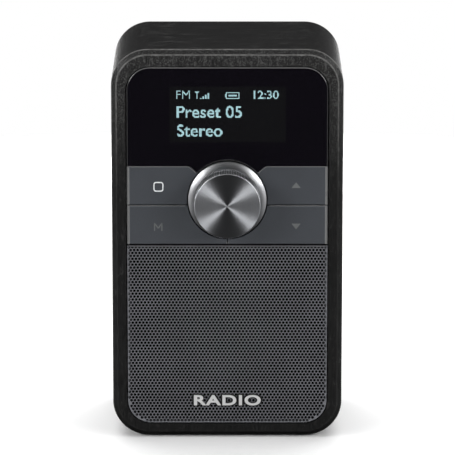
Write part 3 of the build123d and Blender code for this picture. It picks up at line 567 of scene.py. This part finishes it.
finishes = {
    "black_wood": blackWood(),
    "chassis_black": mouldedPlastic("chassisBlack", grey(0.006), 0.5),
    "window_black": windowGloss(),
    "oled_black": mouldedPlastic("oledGlass", (0.006, 0.006, 0.007), 0.12, 0.000003, 0.5),
    "foam_grey": softRubber("foamGrey", grey(0.03), 0.85),
    "ribbon_amber": mouldedPlastic("amberFilm", (0.40, 0.15, 0.02), 0.3, 0.00001, 0.4),
    "grille_metal": grilleCoat(),
    "cloth_black": wovenCloth("blackMeshCloth", grey(0.0018)),
    "badge_metal": turnedMetal("badgeMetal", grey(0.60), 0.42, "X", metallic=0.15),
    "key_grey": satinKey(),
    "plunger_black": mouldedPlastic("plungerBlack", grey(0.01), 0.55),
    "foot_rubber": softRubber("footRubber", grey(0.012)),
    "knob_aluminium": spunAluminium(),
    "bright_steel": turnedMetal("brightSteel", (0.62, 0.62, 0.63), 0.2, "Y"),
    "zinc_steel": turnedMetal("zincSteel", (0.55, 0.56, 0.58), 0.34, "Y"),
    "black_steel": turnedMetal("blackSteel", grey(0.02), 0.4, "Y", metallic=0.5),
    "board_green": circuitBoard(),
    "chip_black": mouldedPlastic("chipEpoxy", grey(0.012), 0.6, 0.00003),
    "connector_white": mouldedPlastic("connectorNylon", (0.66, 0.62, 0.50), 0.5),
    "ferrite": mouldedPlastic("ferrite", grey(0.02), 0.55, 0.00006, grainScale=1500),
    "cone_paper": coatedPaper(),
    "surround_rubber": softRubber("surroundRubber", grey(0.009), 0.6),
    "spider_cloth": wovenCloth("spiderCloth", (0.45, 0.30, 0.09), 1400.0),
    "copper": turnedMetal("copperWire", (0.70, 0.32, 0.15), 0.28, "X", 3000),
    "battery_silver": foilPouch(),
    "tape_white": wovenCloth("whiteTape", grey(0.7), 1800.0),
    "rear_black": mouldedPlastic("rearBlack", grey(0.0085), 0.5, 0.00005, grainScale=2400),
    "jack_black": mouldedPlastic("jackBlack", grey(0.008), 0.35),
    "chrome_tube": turnedMetal("chromeTube", (0.78, 0.78, 0.79), 0.17, "Z", 1200, scratch=0.0000003),
}

for part in frame["record"]["subparts"]:
    node = frame["nodes"][part["node"]]
    for holder in node.material_slots:
        holder.material = finishes[part["material_slot"]]
print("finishes on", len(frame["nodes"]), "CAD nodes")


cameraLook = {
    "distance": 1.254,
    "elevation": 13.77,
    "aimHeight": 0.0720,
    "aimSide": 0.00006,
    "lens": 301.7,
}
knobLights = {
    # each has a twin on the left: degrees round the knob's face from level, degrees out from the way
    # the face mirrors the camera, width, length, watts
    "upper": (32.0, 69.0, 0.33, 0.85, 6.3),
    "side": (-4.0, 62.0, 0.8, 0.9, 1.0),
}
studioLights = {
    # place, the way its length runs, the way its back faces, width, length, watts, seen in gloss
    "overhead": ((0, 0.52, 1.3), (0, 1, 0), (0, 0.3, 1), 1.8, 1.5, 30.0, False),
    "frontFill": ((0, -1.3, 0.9), (0, 1, 1.5), (0, -1.5, 1), 1.2, 0.6, 1.0, False),
    "backLine": ((0, 0.75, 1.15), (0, 1.15, -0.75), (0, 0.75, 1.15), 1.2, 0.3, 1.5, True),
    "horizon": ((0, 1.6, 0.17), (0, 0, 1), (0, 1, 0), 2.4, 0.28, 0.25, True),
    "floorGlow": ((0, 0.40, 0.045), (0, 0, 1), (0, 1, 0), 0.6, 0.075, 0.75, True),
    "rearRight": ((0.85, 0.75, 0.65), (-0.75, 0.85, 0), (0.85, 0.75, 0.6), 0.5, 0.5, 1.5, True),
    "rearLeft": ((-0.85, 0.75, 0.65), (0.75, 0.85, 0), (-0.85, 0.75, 0.6), 0.5, 0.5, 1.5, True),
}
studioLook = {"reach": 1.0, "floorRadius": 0.45, "floor": 0.9, "world": 0.02}  # reach: knob to its lights


def makeCamera():
    frontY = boxOf("cabinet")[0].y
    tilt = math.radians(cameraLook["elevation"])
    reach = cameraLook["distance"]
    data = bpy.data.cameras.new("camera")
    data.lens = cameraLook["lens"]
    data.sensor_width = 36.0
    data.clip_end = 20.0
    camera = bpy.data.objects.new("camera", data)
    scene.collection.objects.link(camera)
    aim = Vector((cameraLook["aimSide"], frontY, cameraLook["aimHeight"]))
    camera.location = aim + Vector((0, -math.cos(tilt), math.sin(tilt))) * reach
    camera.rotation_euler = (math.radians(90) - tilt, 0, 0)
    scene.camera = camera


def softLight(name, place, along, away, width, length, power, shine=True):
    # a rectangle of light; its length runs along one direction and its back faces away
    data = bpy.data.lights.new(name, "AREA")
    data.shape = "RECTANGLE"
    data.size = width
    data.size_y = length
    data.energy = power
    light = bpy.data.objects.new(name, data)
    scene.collection.objects.link(light)
    upright = Vector(along).normalized()
    back = Vector(away).normalized()
    axes = Matrix((upright.cross(back), upright, back)).transposed()
    light.matrix_world = Matrix.Translation(place) @ axes.to_4x4()
    light.visible_camera = False
    light.visible_glossy = shine


def lightRoundKnob(name, turn, swing, width, length, power):
    # a light placed by what the knob's face mirrors towards the camera
    knob = middleOf("tuning_knob")
    tilt = math.radians(cameraLook["elevation"])
    mirror = Vector((0, -math.cos(tilt), -math.sin(tilt)))
    up = Vector((0, -math.sin(tilt), math.cos(tilt)))
    a, b = math.radians(turn), math.radians(swing)
    outward = Vector((math.cos(a), 0, 0)) + up * math.sin(a)
    toward = mirror * math.cos(b) + outward * math.sin(b)
    along = outward * math.cos(b) - mirror * math.sin(b)
    softLight(name, knob + toward * studioLook["reach"], along, toward, width, length, power)


def makeFloor():
    # a small pale disc that takes the shadow; past it there is only the white behind
    pale = grey(studioLook["floor"])
    floorPaint = Paint("paleFloor", Roughness=0.9, Specular_IOR_Level=0.0, Base_Color=pale)
    bm = bmesh.new()
    bmesh.ops.create_circle(bm, cap_ends=True, segments=96, radius=studioLook["floorRadius"])
    floor = bpy.data.objects.new("floor", meshFrom("floor", bm))
    floor.data.materials.append(floorPaint.material)
    floor.visible_glossy = False
    scene.collection.objects.link(floor)


def makeWorld():
    # white where the camera sees it, almost dark for everything else, so the soft lights do the work
    world = bpy.data.worlds.new("studio")
    scene.world = world
    world.use_nodes = True
    tree = world.node_tree
    tree.nodes.clear()
    seen = tree.nodes.new("ShaderNodeLightPath")
    white = tree.nodes.new("ShaderNodeBackground")
    white.inputs[0].default_value = (1, 1, 1, 1)
    dim = tree.nodes.new("ShaderNodeBackground")
    dim.inputs[0].default_value = (*grey(studioLook["world"]), 1)
    choose = tree.nodes.new("ShaderNodeMixShader")
    out = tree.nodes.new("ShaderNodeOutputWorld")
    tree.links.new(seen.outputs["Is Camera Ray"], choose.inputs[0])
    tree.links.new(dim.outputs[0], choose.inputs[1])
    tree.links.new(white.outputs[0], choose.inputs[2])
    tree.links.new(choose.outputs[0], out.inputs[0])


def makeStudio():
    for name, (turn, swing, width, length, power) in knobLights.items():
        for side, way in (("Right", turn), ("Left", 180 - turn)):
            lightRoundKnob(name + side, way, swing, width, length, power)
    for name, values in studioLights.items():
        softLight(name, *values)
    makeFloor()
    makeWorld()
    scene.view_settings.view_transform = "Standard"


makeCamera()
makeStudio()
print("camera and studio ready")


knobShape = {
    "steps": 480,  # points round the knob
    "ridges": 120,  # knurl on the band
    "ridgeDepth": 0.30 * mm,
    "grooves": 30,  # turned lines on the face
    "grooveTilt": 3.0,  # degrees, the steepest side of a turned line
    "bandRadius": 10.85 * mm,
    "grooveRadius": 10.6 * mm,
    "grooveWidth": 0.25 * mm,
    "plain": 0.3 * mm,  # radius of the flat spot in the middle of the face
    "bevel": 0.25 * mm,
    "bandRows": 6,
    "ridgeEnds": (0.35, 0.5),  # share of a ridge's depth at the band's front and back
    "flareMid": (11.72 * mm, 0.83 * mm),  # radius and height above the cabinet's front
    "flareTop": (10.95 * mm, 2.0 * mm),
    "flareSteps": 14,
    "rimRound": 0.08 * mm,
    "wallRadius": 8.8 * mm,  # the hollow behind
    "wallDepth": 5.0 * mm,
    "crestDepth": 0.03 * mm,  # how far down a ridge the metal is kept clear of the painted shade
    "band": (grey(0.95, (0.96, 0.97, 1.0)), 0.34),  # colour and roughness
    "skirt": (grey(0.58, (0.96, 0.97, 1.0)), 0.38),
    "rim": ((0.96, 0.97, 1.0), 0.5),
}


def turnedKnob():
    # profile points are (radius, height along the axis, share of the knurl)
    low, high = boxOf("tuning_knob")
    centre = (low + high) / 2
    outer = (high.x - low.x) / 2
    panelY = boxOf("cabinet")[0].y
    shape = knobShape
    front = panelY - low.y
    back = panelY - high.y
    band = shape["bandRadius"]
    profile = []

    # turned face, four steps to each line
    pitch = (band - shape["bevel"] - shape["plain"]) / shape["grooves"]
    depth = math.tan(math.radians(shape["grooveTilt"])) * pitch / math.pi
    for i in range(shape["grooves"] * 4 + 1):
        wave = 0.5 - 0.5 * math.cos(math.pi * i / 2)
        profile.append((shape["plain"] + pitch * i / 4, front - depth * wave, 0.0))
    faceRows = len(profile) - 1

    # knurled band and the groove behind it
    bandFront = front - shape["bevel"]
    topRadius, topHeight = shape["flareTop"]
    bandBack = topHeight + shape["grooveWidth"]
    rows = shape["bandRows"]
    frontShare, backShare = shape["ridgeEnds"]
    for i in range(rows + 1):
        share = frontShare if i == 0 else 1.0 if i < rows else backShare
        profile.append((band, bandFront + (bandBack - bandFront) * i / rows, share))
    bandRows = len(profile) - 1
    profile.append((shape["grooveRadius"], bandBack, 0.0))
    profile.append((shape["grooveRadius"], topHeight, 0.0))

    # polished skirt, hollow between the groove and the rim, then round to the hollow behind
    midRadius, midHeight = shape["flareMid"]
    rim = outer - shape["rimRound"]
    pullRadius = 2 * midRadius - (topRadius + rim) / 2
    pullHeight = 2 * midHeight - topHeight / 2
    for i in range(shape["flareSteps"] + 1):
        t = i / shape["flareSteps"]
        radius = (1 - t) ** 2 * topRadius + 2 * t * (1 - t) * pullRadius + t**2 * rim
        profile.append((radius, (1 - t) ** 2 * topHeight + 2 * t * (1 - t) * pullHeight, 0.0))
    profile.append((outer, -shape["rimRound"], 0.0))
    profile.append((outer, back, 0.0))
    profile.append((shape["wallRadius"], back, 0.0))
    profile.append((shape["wallRadius"], back + shape["wallDepth"], 0.0))

    bm = bmesh.new()
    rings = []
    steps = shape["steps"]
    for radius, height, share in profile:
        ring = []
        for i in range(steps):
            a = 2 * math.pi * i / steps
            tooth = abs((i * shape["ridges"] / steps) % 1.0 - 0.5) * 2
            r = radius - shape["ridgeDepth"] * share * tooth
            ring.append(bm.verts.new((r * math.cos(a), r * math.sin(a), height)))
        rings.append(ring)
    faceZone, bandZone, skirtZone, rimZone = range(4)  # in the order of the knob's materials
    rowZones = [faceZone] * faceRows + [rimZone] + [bandZone] * (bandRows - faceRows - 1)
    rowZones += [skirtZone] * (len(profile) - 1 - bandRows)
    zones = []
    for first, second, zone in zip(rings, rings[1:], rowZones):
        for i in range(steps):
            j = (i + 1) % steps
            bm.faces.new((first[i], first[j], second[j], second[i]))
            zones.append(zone)
    bm.faces.new(rings[0])
    bm.faces.new(rings[-1])
    zones += [faceZone, skirtZone]
    mesh = meshFrom("turned_knob", bm)
    # its own Z runs along the knob's axis, out to the front
    pose = Matrix.Translation((centre.x, panelY, centre.z)) @ Matrix.Rotation(math.radians(90), 4, "X")
    piece = addPiece("turned_knob", mesh, finishes["knob_aluminium"], "knob", 38, pose)
    crest, valley = band - shape["crestDepth"], band - shape["ridgeDepth"]
    for finish in (
        turnedAluminium("knurledAluminium", *shape["band"], crest, valley),
        turnedAluminium("polishedSkirt", *shape["skirt"]),
        turnedAluminium("knurledRim", *shape["rim"]),
    ):
        piece.data.materials.append(finish)
    piece.data.polygons.foreach_set("material_index", zones)
    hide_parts("tuning_knob")


turnedKnob()
print("knob turned")


grilleShape = {
    "pitch": 1.158 * mm,
    "rowStep": 0.99 * mm,
    "holeRadius": 0.49 * mm,
    "holeSides": 10,
    "sheet": 0.45 * mm,
    "edgeRound": 0.1 * mm,
    "edgeSteps": 4,
    "fold": 0.5 * mm,  # thickness of the folded edge
    "margin": 0.52 * mm,  # from a hole's middle to the folded edge
    "topDrop": 0.01 * mm,  # keeps the first row clear of that margin
    "cornerRadius": 7.7 * mm,  # of the two lower corners
    "upperRadius": 0.3 * mm,
}


def perforatedGrille():
    low, high = boxOf("speaker_grille")
    shape = grilleShape
    frontY = low.y

    def outline(inset):
        big, small = shape["cornerRadius"] - inset, shape["upperRadius"]
        corners = (low.x + inset, low.z + inset), (high.x - inset, high.z - inset)
        return roundedOutline(*corners, (big, big, small, small))

    def inside(x, z, inset):
        left, right = low.x + inset, high.x - inset
        if not (left < x < right and low.z + inset < z < high.z - inset):
            return False
        radius = shape["cornerRadius"] - inset
        dx = max(left + radius - x, x - right + radius, 0)
        dz = max(low.z + inset + radius - z, 0)
        return dx == 0 or dz == 0 or math.hypot(dx, dz) < radius

    edge = outline(shape["edgeRound"])
    points = [Vector(p) for p in edge]
    lines = [(i, (i + 1) % len(edge)) for i in range(len(edge))]
    holes = []
    radius = shape["holeRadius"]
    rows = int((high.z - low.z) / shape["rowStep"]) + 1
    columns = int((high.x - low.x) / shape["pitch"]) + 2
    midX = (low.x + high.x) / 2
    topRow = high.z - shape["margin"] - shape["topDrop"]
    for row in range(rows):
        for column in range(-columns // 2, columns // 2 + 1):
            x = midX + (column + 0.5 * (row % 2)) * shape["pitch"]
            z = topRow - row * shape["rowStep"]
            if inside(x, z, shape["margin"]):
                holes.append((x, z))
    finder = KDTree(len(holes))
    for index, (x, z) in enumerate(holes):
        finder.insert((x, z, 0), index)
        start = len(points)
        sides = shape["holeSides"]
        for i in range(sides):
            a = 2 * math.pi * (i + 0.5) / sides
            points.append(Vector((x + radius * math.cos(a), z + radius * math.sin(a))))
            lines.append((start + i, start + (i + 1) % sides))
    finder.balance()
    verts, _, faces, *_ = delaunay_2d_cdt(points, lines, [], 1, 1e-7)
    bm = bmesh.new()
    made = [bm.verts.new((v.x, frontY, v.y)) for v in verts]
    for face in faces:
        x = sum(verts[i].x for i in face) / len(face)
        z = sum(verts[i].y for i in face) / len(face)
        if finder.find((x, z, 0))[2] > radius * 0.9:  # a face nearer than that fills a hole
            bm.faces.new([made[i] for i in face])
    plate = bmesh.ops.extrude_face_region(bm, geom=bm.faces[:])
    back = [v for v in plate["geom"] if isinstance(v, bmesh.types.BMVert)]
    bmesh.ops.translate(bm, verts=back, vec=(0, shape["sheet"], 0))
    # the folded edge, as (inset, y) from the front round to the plate's back
    rings = []
    bend = shape["edgeRound"]
    plateBack = frontY + shape["sheet"]
    for i in range(shape["edgeSteps"] + 1):
        a = math.pi / 2 * i / shape["edgeSteps"]
        rings.append((bend * (1 - math.sin(a)), frontY + bend * (1 - math.cos(a))))
    rings += [(0.0, high.y), (shape["fold"], high.y), (shape["fold"], plateBack), (bend, plateBack)]
    loops = [[bm.verts.new((x, y, z)) for x, z in outline(inset)] for inset, y in rings]
    for first, second in zip(loops, loops[1:]):
        for i in range(len(first)):
            j = (i + 1) % len(first)
            bm.faces.new((first[i], first[j], second[j], second[i]))
    mesh = meshFrom("perforated_grille", bm)
    piece = addPiece("perforated_grille", mesh, finishes["grille_metal"], "radio", 50)
    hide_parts("speaker_grille")
    print("grille holes:", len(holes), "faces:", len(mesh.polygons))


perforatedGrille()


clothShape = {
    "pitch": 0.8 * mm,  # from one thread to the next
    "relief": 0.06 * mm,
    "thickness": 0.2 * mm,
}


def stretchedCloth():
    # plain weave held flat behind the grille, its lower corners cut to the grille's
    low, high = boxOf("grille_cloth")
    shape = clothShape
    corner = grilleShape["cornerRadius"] - (low.x - boxOf("speaker_grille")[0].x)
    wide, tall = high.x - low.x, high.z - low.z
    columns, rows = (round(2 * length / shape["pitch"]) for length in (wide, tall))
    bm = bmesh.new()
    grid = {}
    for i in range(columns + 1):
        for j in range(rows + 1):
            over = math.cos(math.pi * i / 2) * math.cos(math.pi * j / 2)  # 1 over, -1 under
            y = low.y + shape["relief"] * (1 - over) / 2
            grid[i, j] = bm.verts.new((low.x + wide * i / columns, y, low.z + tall * j / rows))
    for i in range(columns):
        for j in range(rows):
            x = low.x + wide * (i + 0.5) / columns
            z = low.z + tall * (j + 0.5) / rows
            fromSide = max(low.x + corner - x, x - high.x + corner, 0)
            fromBottom = max(low.z + corner - z, 0)
            if math.hypot(fromSide, fromBottom) < corner:
                bm.faces.new((grid[i, j], grid[i + 1, j], grid[i + 1, j + 1], grid[i, j + 1]))
    bmesh.ops.delete(bm, geom=[v for v in bm.verts if not v.link_faces], context="VERTS")
    backed = bmesh.ops.extrude_face_region(bm, geom=bm.faces[:])
    back = [v for v in backed["geom"] if isinstance(v, bmesh.types.BMVert)]
    bmesh.ops.translate(bm, verts=back, vec=(0, shape["thickness"], 0))
    mesh = meshFrom("woven_cloth", bm)
    piece = addPiece("woven_cloth", mesh, finishes["cloth_black"], "radio", 60)
    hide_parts("grille_cloth")
    print("cloth", len(piece.data.polygons), "faces,", round(wide, 5), "by", round(tall, 5))


stretchedCloth()


badgeShape = {
    "words": "RADIO",
    "spacing": 1.12,
    "bold": 0.03,  # as shares of the letters' height
    # how far the painted shadow reaches past the letters
    "outline": 0.115,
    "shadowBacking": 0.12 * mm,
}
# near black plastic for the painted shadow round the badge's letters
letterShadowInk = mouldedPlastic("badgeLetterShadow", grey(0.004), 0.5)


def raisedBadge():
    # generic raised word on a slightly larger black backing, which is painted shadow round the letters, as
    # wide as the plain bar it stands for
    low, high = boxOf("badge")
    shape = textMesh(badgeShape["words"], badgeShape["bold"], badgeShape["spacing"])
    xs = [v.co.x for v in shape.vertices]
    ys = [v.co.y for v in shape.vertices]
    left, bottom = min(xs), min(ys)
    wide, tall = max(xs) - left, max(ys) - bottom

    def raised(name, letters, frontY, finish):
        bm = bmesh.new()
        bm.from_mesh(letters)
        bmesh.ops.remove_doubles(bm, verts=bm.verts[:], dist=1e-5)
        for v in bm.verts:
            x = low.x + (v.co.x - left) / wide * (high.x - low.x)
            z = low.z + (v.co.y - bottom) / tall * (high.z - low.z)
            v.co = (x, high.y, z)
        lifted = bmesh.ops.extrude_face_region(bm, geom=bm.faces[:])
        front = [v for v in lifted["geom"] if isinstance(v, bmesh.types.BMVert)]
        bmesh.ops.translate(bm, verts=front, vec=(0, frontY - high.y, 0))
        return addPiece(name, meshFrom(name, bm), finish, "radio", 40)

    piece = raised("raised_badge", shape, low.y, finishes["badge_metal"])
    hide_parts("badge")
    # the black backing: painted shadow round the letters
    shadowBacking = textMesh(badgeShape["words"], badgeShape["outline"], badgeShape["spacing"])
    raised("badge_shadow_backing", shadowBacking, high.y - badgeShape["shadowBacking"], letterShadowInk)


raisedBadge()
print("badge raised")


legendShape = {
    "proud": 0.02 * mm,
    "sunk": 0.02 * mm,
    "stroke": 0.38 * mm,
    "sideX": 22.6 * mm,  # from the radio's middle to the home ring and the triangles
    "homeHeight": 85.3 * mm,  # heights are above the cabinet's base
    "homeSize": 3.3 * mm,
    "homeCorner": 0.85 * mm,
    "menuAt": (-22.73 * mm, 71.77 * mm),
    "menuSize": (2.4 * mm, 2.7 * mm),
    "menuDip": 0.5 * mm,  # how far below its middle the M's inner strokes meet
    "menuInset": 0.1 * mm,  # and how far below its top they start
    "upHeight": 85.85 * mm,
    "downHeight": 71.9 * mm,
    "triangleHalf": (1.5 * mm, 0.95 * mm),
}
whiteInk = printedInk("whiteInk", grey(0.72, (0.95, 0.99, 1.0)))
greyInk = printedInk("greyInk", grey(0.13, (0.95, 1.0, 1.0)))


def printLegend(name, polygons, ink, body, node):
    # flat ink on a key's front, set a little into it so that no gap shows
    frontY = boxOf(node)[0].y
    mesh = slabMesh(name, polygons, frontY + legendShape["sunk"], frontY - legendShape["proud"])
    addPiece(name, mesh, ink, body)


def ringPolygons(centre, size, radius, stroke):
    # a rounded square outline as quads between two loops
    x, z = centre
    h = size / 2
    outer = roundedOutline((x - h, z - h), (x + h, z + h), (radius,) * 4, 4)
    h -= stroke
    inner = roundedOutline((x - h, z - h), (x + h, z + h), (radius - stroke,) * 4, 4)
    count = len(outer)
    return [[outer[i], outer[(i + 1) % count], inner[(i + 1) % count], inner[i]] for i in range(count)]


def strokePolygon(start, end, width):
    # a straight stroke as one quad
    run = Vector((end[0] - start[0], end[1] - start[1]))
    side = Vector((-run.y, run.x)).normalized() * width / 2
    a, b = Vector(start), Vector(end)
    return [tuple(a + side), tuple(b + side), tuple(b - side), tuple(a - side)]


def makeLegends():
    shape = legendShape
    base = boxOf("cabinet")[0].z
    stroke = shape["stroke"]
    homeAt = (-shape["sideX"], base + shape["homeHeight"])
    ring = ringPolygons(homeAt, shape["homeSize"], shape["homeCorner"], stroke)
    printLegend("home_legend", ring, whiteInk, "home_button", "home_key")
    x, z = shape["menuAt"][0], base + shape["menuAt"][1]
    wide, tall = shape["menuSize"]
    left, right, top, bottom = x - wide / 2, x + wide / 2, z + tall / 2, z - tall / 2
    dip = (x, z - shape["menuDip"])
    shoulder = top - shape["menuInset"]
    strokes = [
        strokePolygon((left, bottom), (left, top), stroke),
        strokePolygon((right, bottom), (right, top), stroke),
        strokePolygon((left, shoulder), dip, stroke),
        strokePolygon(dip, (right, shoulder), stroke),
    ]
    printLegend("menu_legend", strokes, greyInk, "menu_button", "menu_key")
    x = shape["sideX"]
    halfWide, halfTall = shape["triangleHalf"]
    for side, way in (("up", 1), ("down", -1)):
        z = base + shape[side + "Height"]
        rise = halfTall * way
        triangle = [(x - halfWide, z - rise), (x + halfWide, z - rise), (x, z + rise)]
        printLegend(side + "_legend", [triangle], greyInk, side + "_button", side + "_key")


makeLegends()
print("legends printed")


displayShape = {
    "columns": 128,
    "rows": 64,
    "width": 35.05 * mm,
    "middle": (0.1 * mm, 109.55 * mm),  # from the radio's middle and above the cabinet's base
    "fill": 0.86,  # share of a cell that lights
    "proud": 0.012 * mm,
    "sunk": 0.01 * mm,
    "areaLow": (-18.9 * mm, 100.3 * mm),  # the panel's whole field, round the lit part
    "areaHigh": (19.1 * mm, 118.8 * mm),
    "areaProud": 0.004 * mm,
    "words": (
        # word, left, right, foot and head of its capitals above the base, how much a stroke is thickened
        ("FM", -16.6 * mm, -12.2 * mm, 114.8 * mm, 117.45 * mm, 0.0),
        ("12:30", 8.6 * mm, 16.75 * mm, 114.8 * mm, 117.45 * mm, 0.004),
        ("Preset 05", -16.5 * mm, 4.8 * mm, 108.5 * mm, 112.4 * mm, 0.012),
        ("Stereo", -16.45 * mm, -1.6 * mm, 102.3 * mm, 106.15 * mm, 0.012),
    ),
    "signalAt": (-10.5 * mm, 114.9 * mm),
    "batteryX": -0.2 * mm,
    # first column, first row, columns wide and rows tall
    "aerial": ((0, 8, 5, 1), (2, 0, 1, 9), (1, 7, 1, 1), (3, 7, 1, 1)),
    "bars": ((6, 0, 2, 1), (9, 0, 2, 3), (12, 0, 2, 5), (15, 0, 2, 7)),
    "battery": ((-1, 2, 1, 4), (0, 0, 16, 1), (0, 7, 16, 1), (0, 0, 1, 8), (15, 0, 1, 8), (3, 3, 10, 2)),
}


def displayDots():
    # the words are drawn on the panel's own grid, one small lit square for each dot
    shape = displayShape
    frontY = boxOf("display_window")[0].y
    base = boxOf("cabinet")[0].z
    cell = shape["width"] / shape["columns"]
    left = shape["middle"][0] - shape["width"] / 2
    bottom = base + shape["middle"][1] - cell * shape["rows"] / 2
    lit = set()

    def cellAt(x, z):
        return int((x - left) // cell), int((z - bottom) // cell)

    def words(text, x0, x1, z0, z1, bold):
        # fits a word between x0 and x1, with its capitals from z0 to z1
        letters = textMesh(text, bold)
        capital = textMesh("H", bold)
        capHigh = max(v.co.y for v in capital.vertices)
        corners = [v.co for v in letters.vertices]
        xs = [co.x for co in corners]
        tree = BVHTree.FromPolygons(corners, [p.vertices[:] for p in letters.polygons])
        for column in range(shape["columns"]):
            for row in range(shape["rows"]):
                x = left + (column + 0.5) * cell
                z = bottom + (row + 0.5) * cell
                u = min(xs) + (x - x0) / (x1 - x0) * (max(xs) - min(xs))
                v = (z - z0) / (z1 - z0) * capHigh
                if x0 <= x <= x1 and tree.ray_cast(Vector((u, v, 1)), Vector((0, 0, -1)))[0]:
                    lit.add((column, row))

    def blocks(column, row, rectangles):
        for start, rise, wide, tall in rectangles:
            lit.update((column + start + c, row + rise + r) for c in range(wide) for r in range(tall))

    for word, x0, x1, z0, z1, bold in shape["words"]:
        words(word, x0, x1, base + z0, base + z1, bold)
    signal, rowBase = cellAt(shape["signalAt"][0], base + shape["signalAt"][1])
    blocks(signal, rowBase, shape["aerial"] + shape["bars"])
    blocks(cellAt(shape["batteryX"], base)[0], rowBase, shape["battery"])

    gap = cell * (1 - shape["fill"]) / 2
    squares = []
    for column, row in sorted(lit):
        x0, z0 = left + column * cell + gap, bottom + row * cell + gap
        x1, z1 = x0 + cell - 2 * gap, z0 + cell - 2 * gap
        squares.append([(x0, z0), (x1, z0), (x1, z1), (x0, z1)])
    backY = frontY + shape["sunk"]
    (x0, z0), (x1, z1) = shape["areaLow"], shape["areaHigh"]
    area = [(x0, base + z0), (x1, base + z0), (x1, base + z1), (x0, base + z1)]
    mesh = slabMesh("display_area", [area], backY, frontY - shape["areaProud"])
    addPiece("display_area", mesh, displayGlass(), "radio")
    mesh = slabMesh("display_dots", squares, backY, frontY - shape["proud"])
    addPiece("display_dots", mesh, litDots(), "radio")
    print("display dots lit:", len(squares))


displayDots()
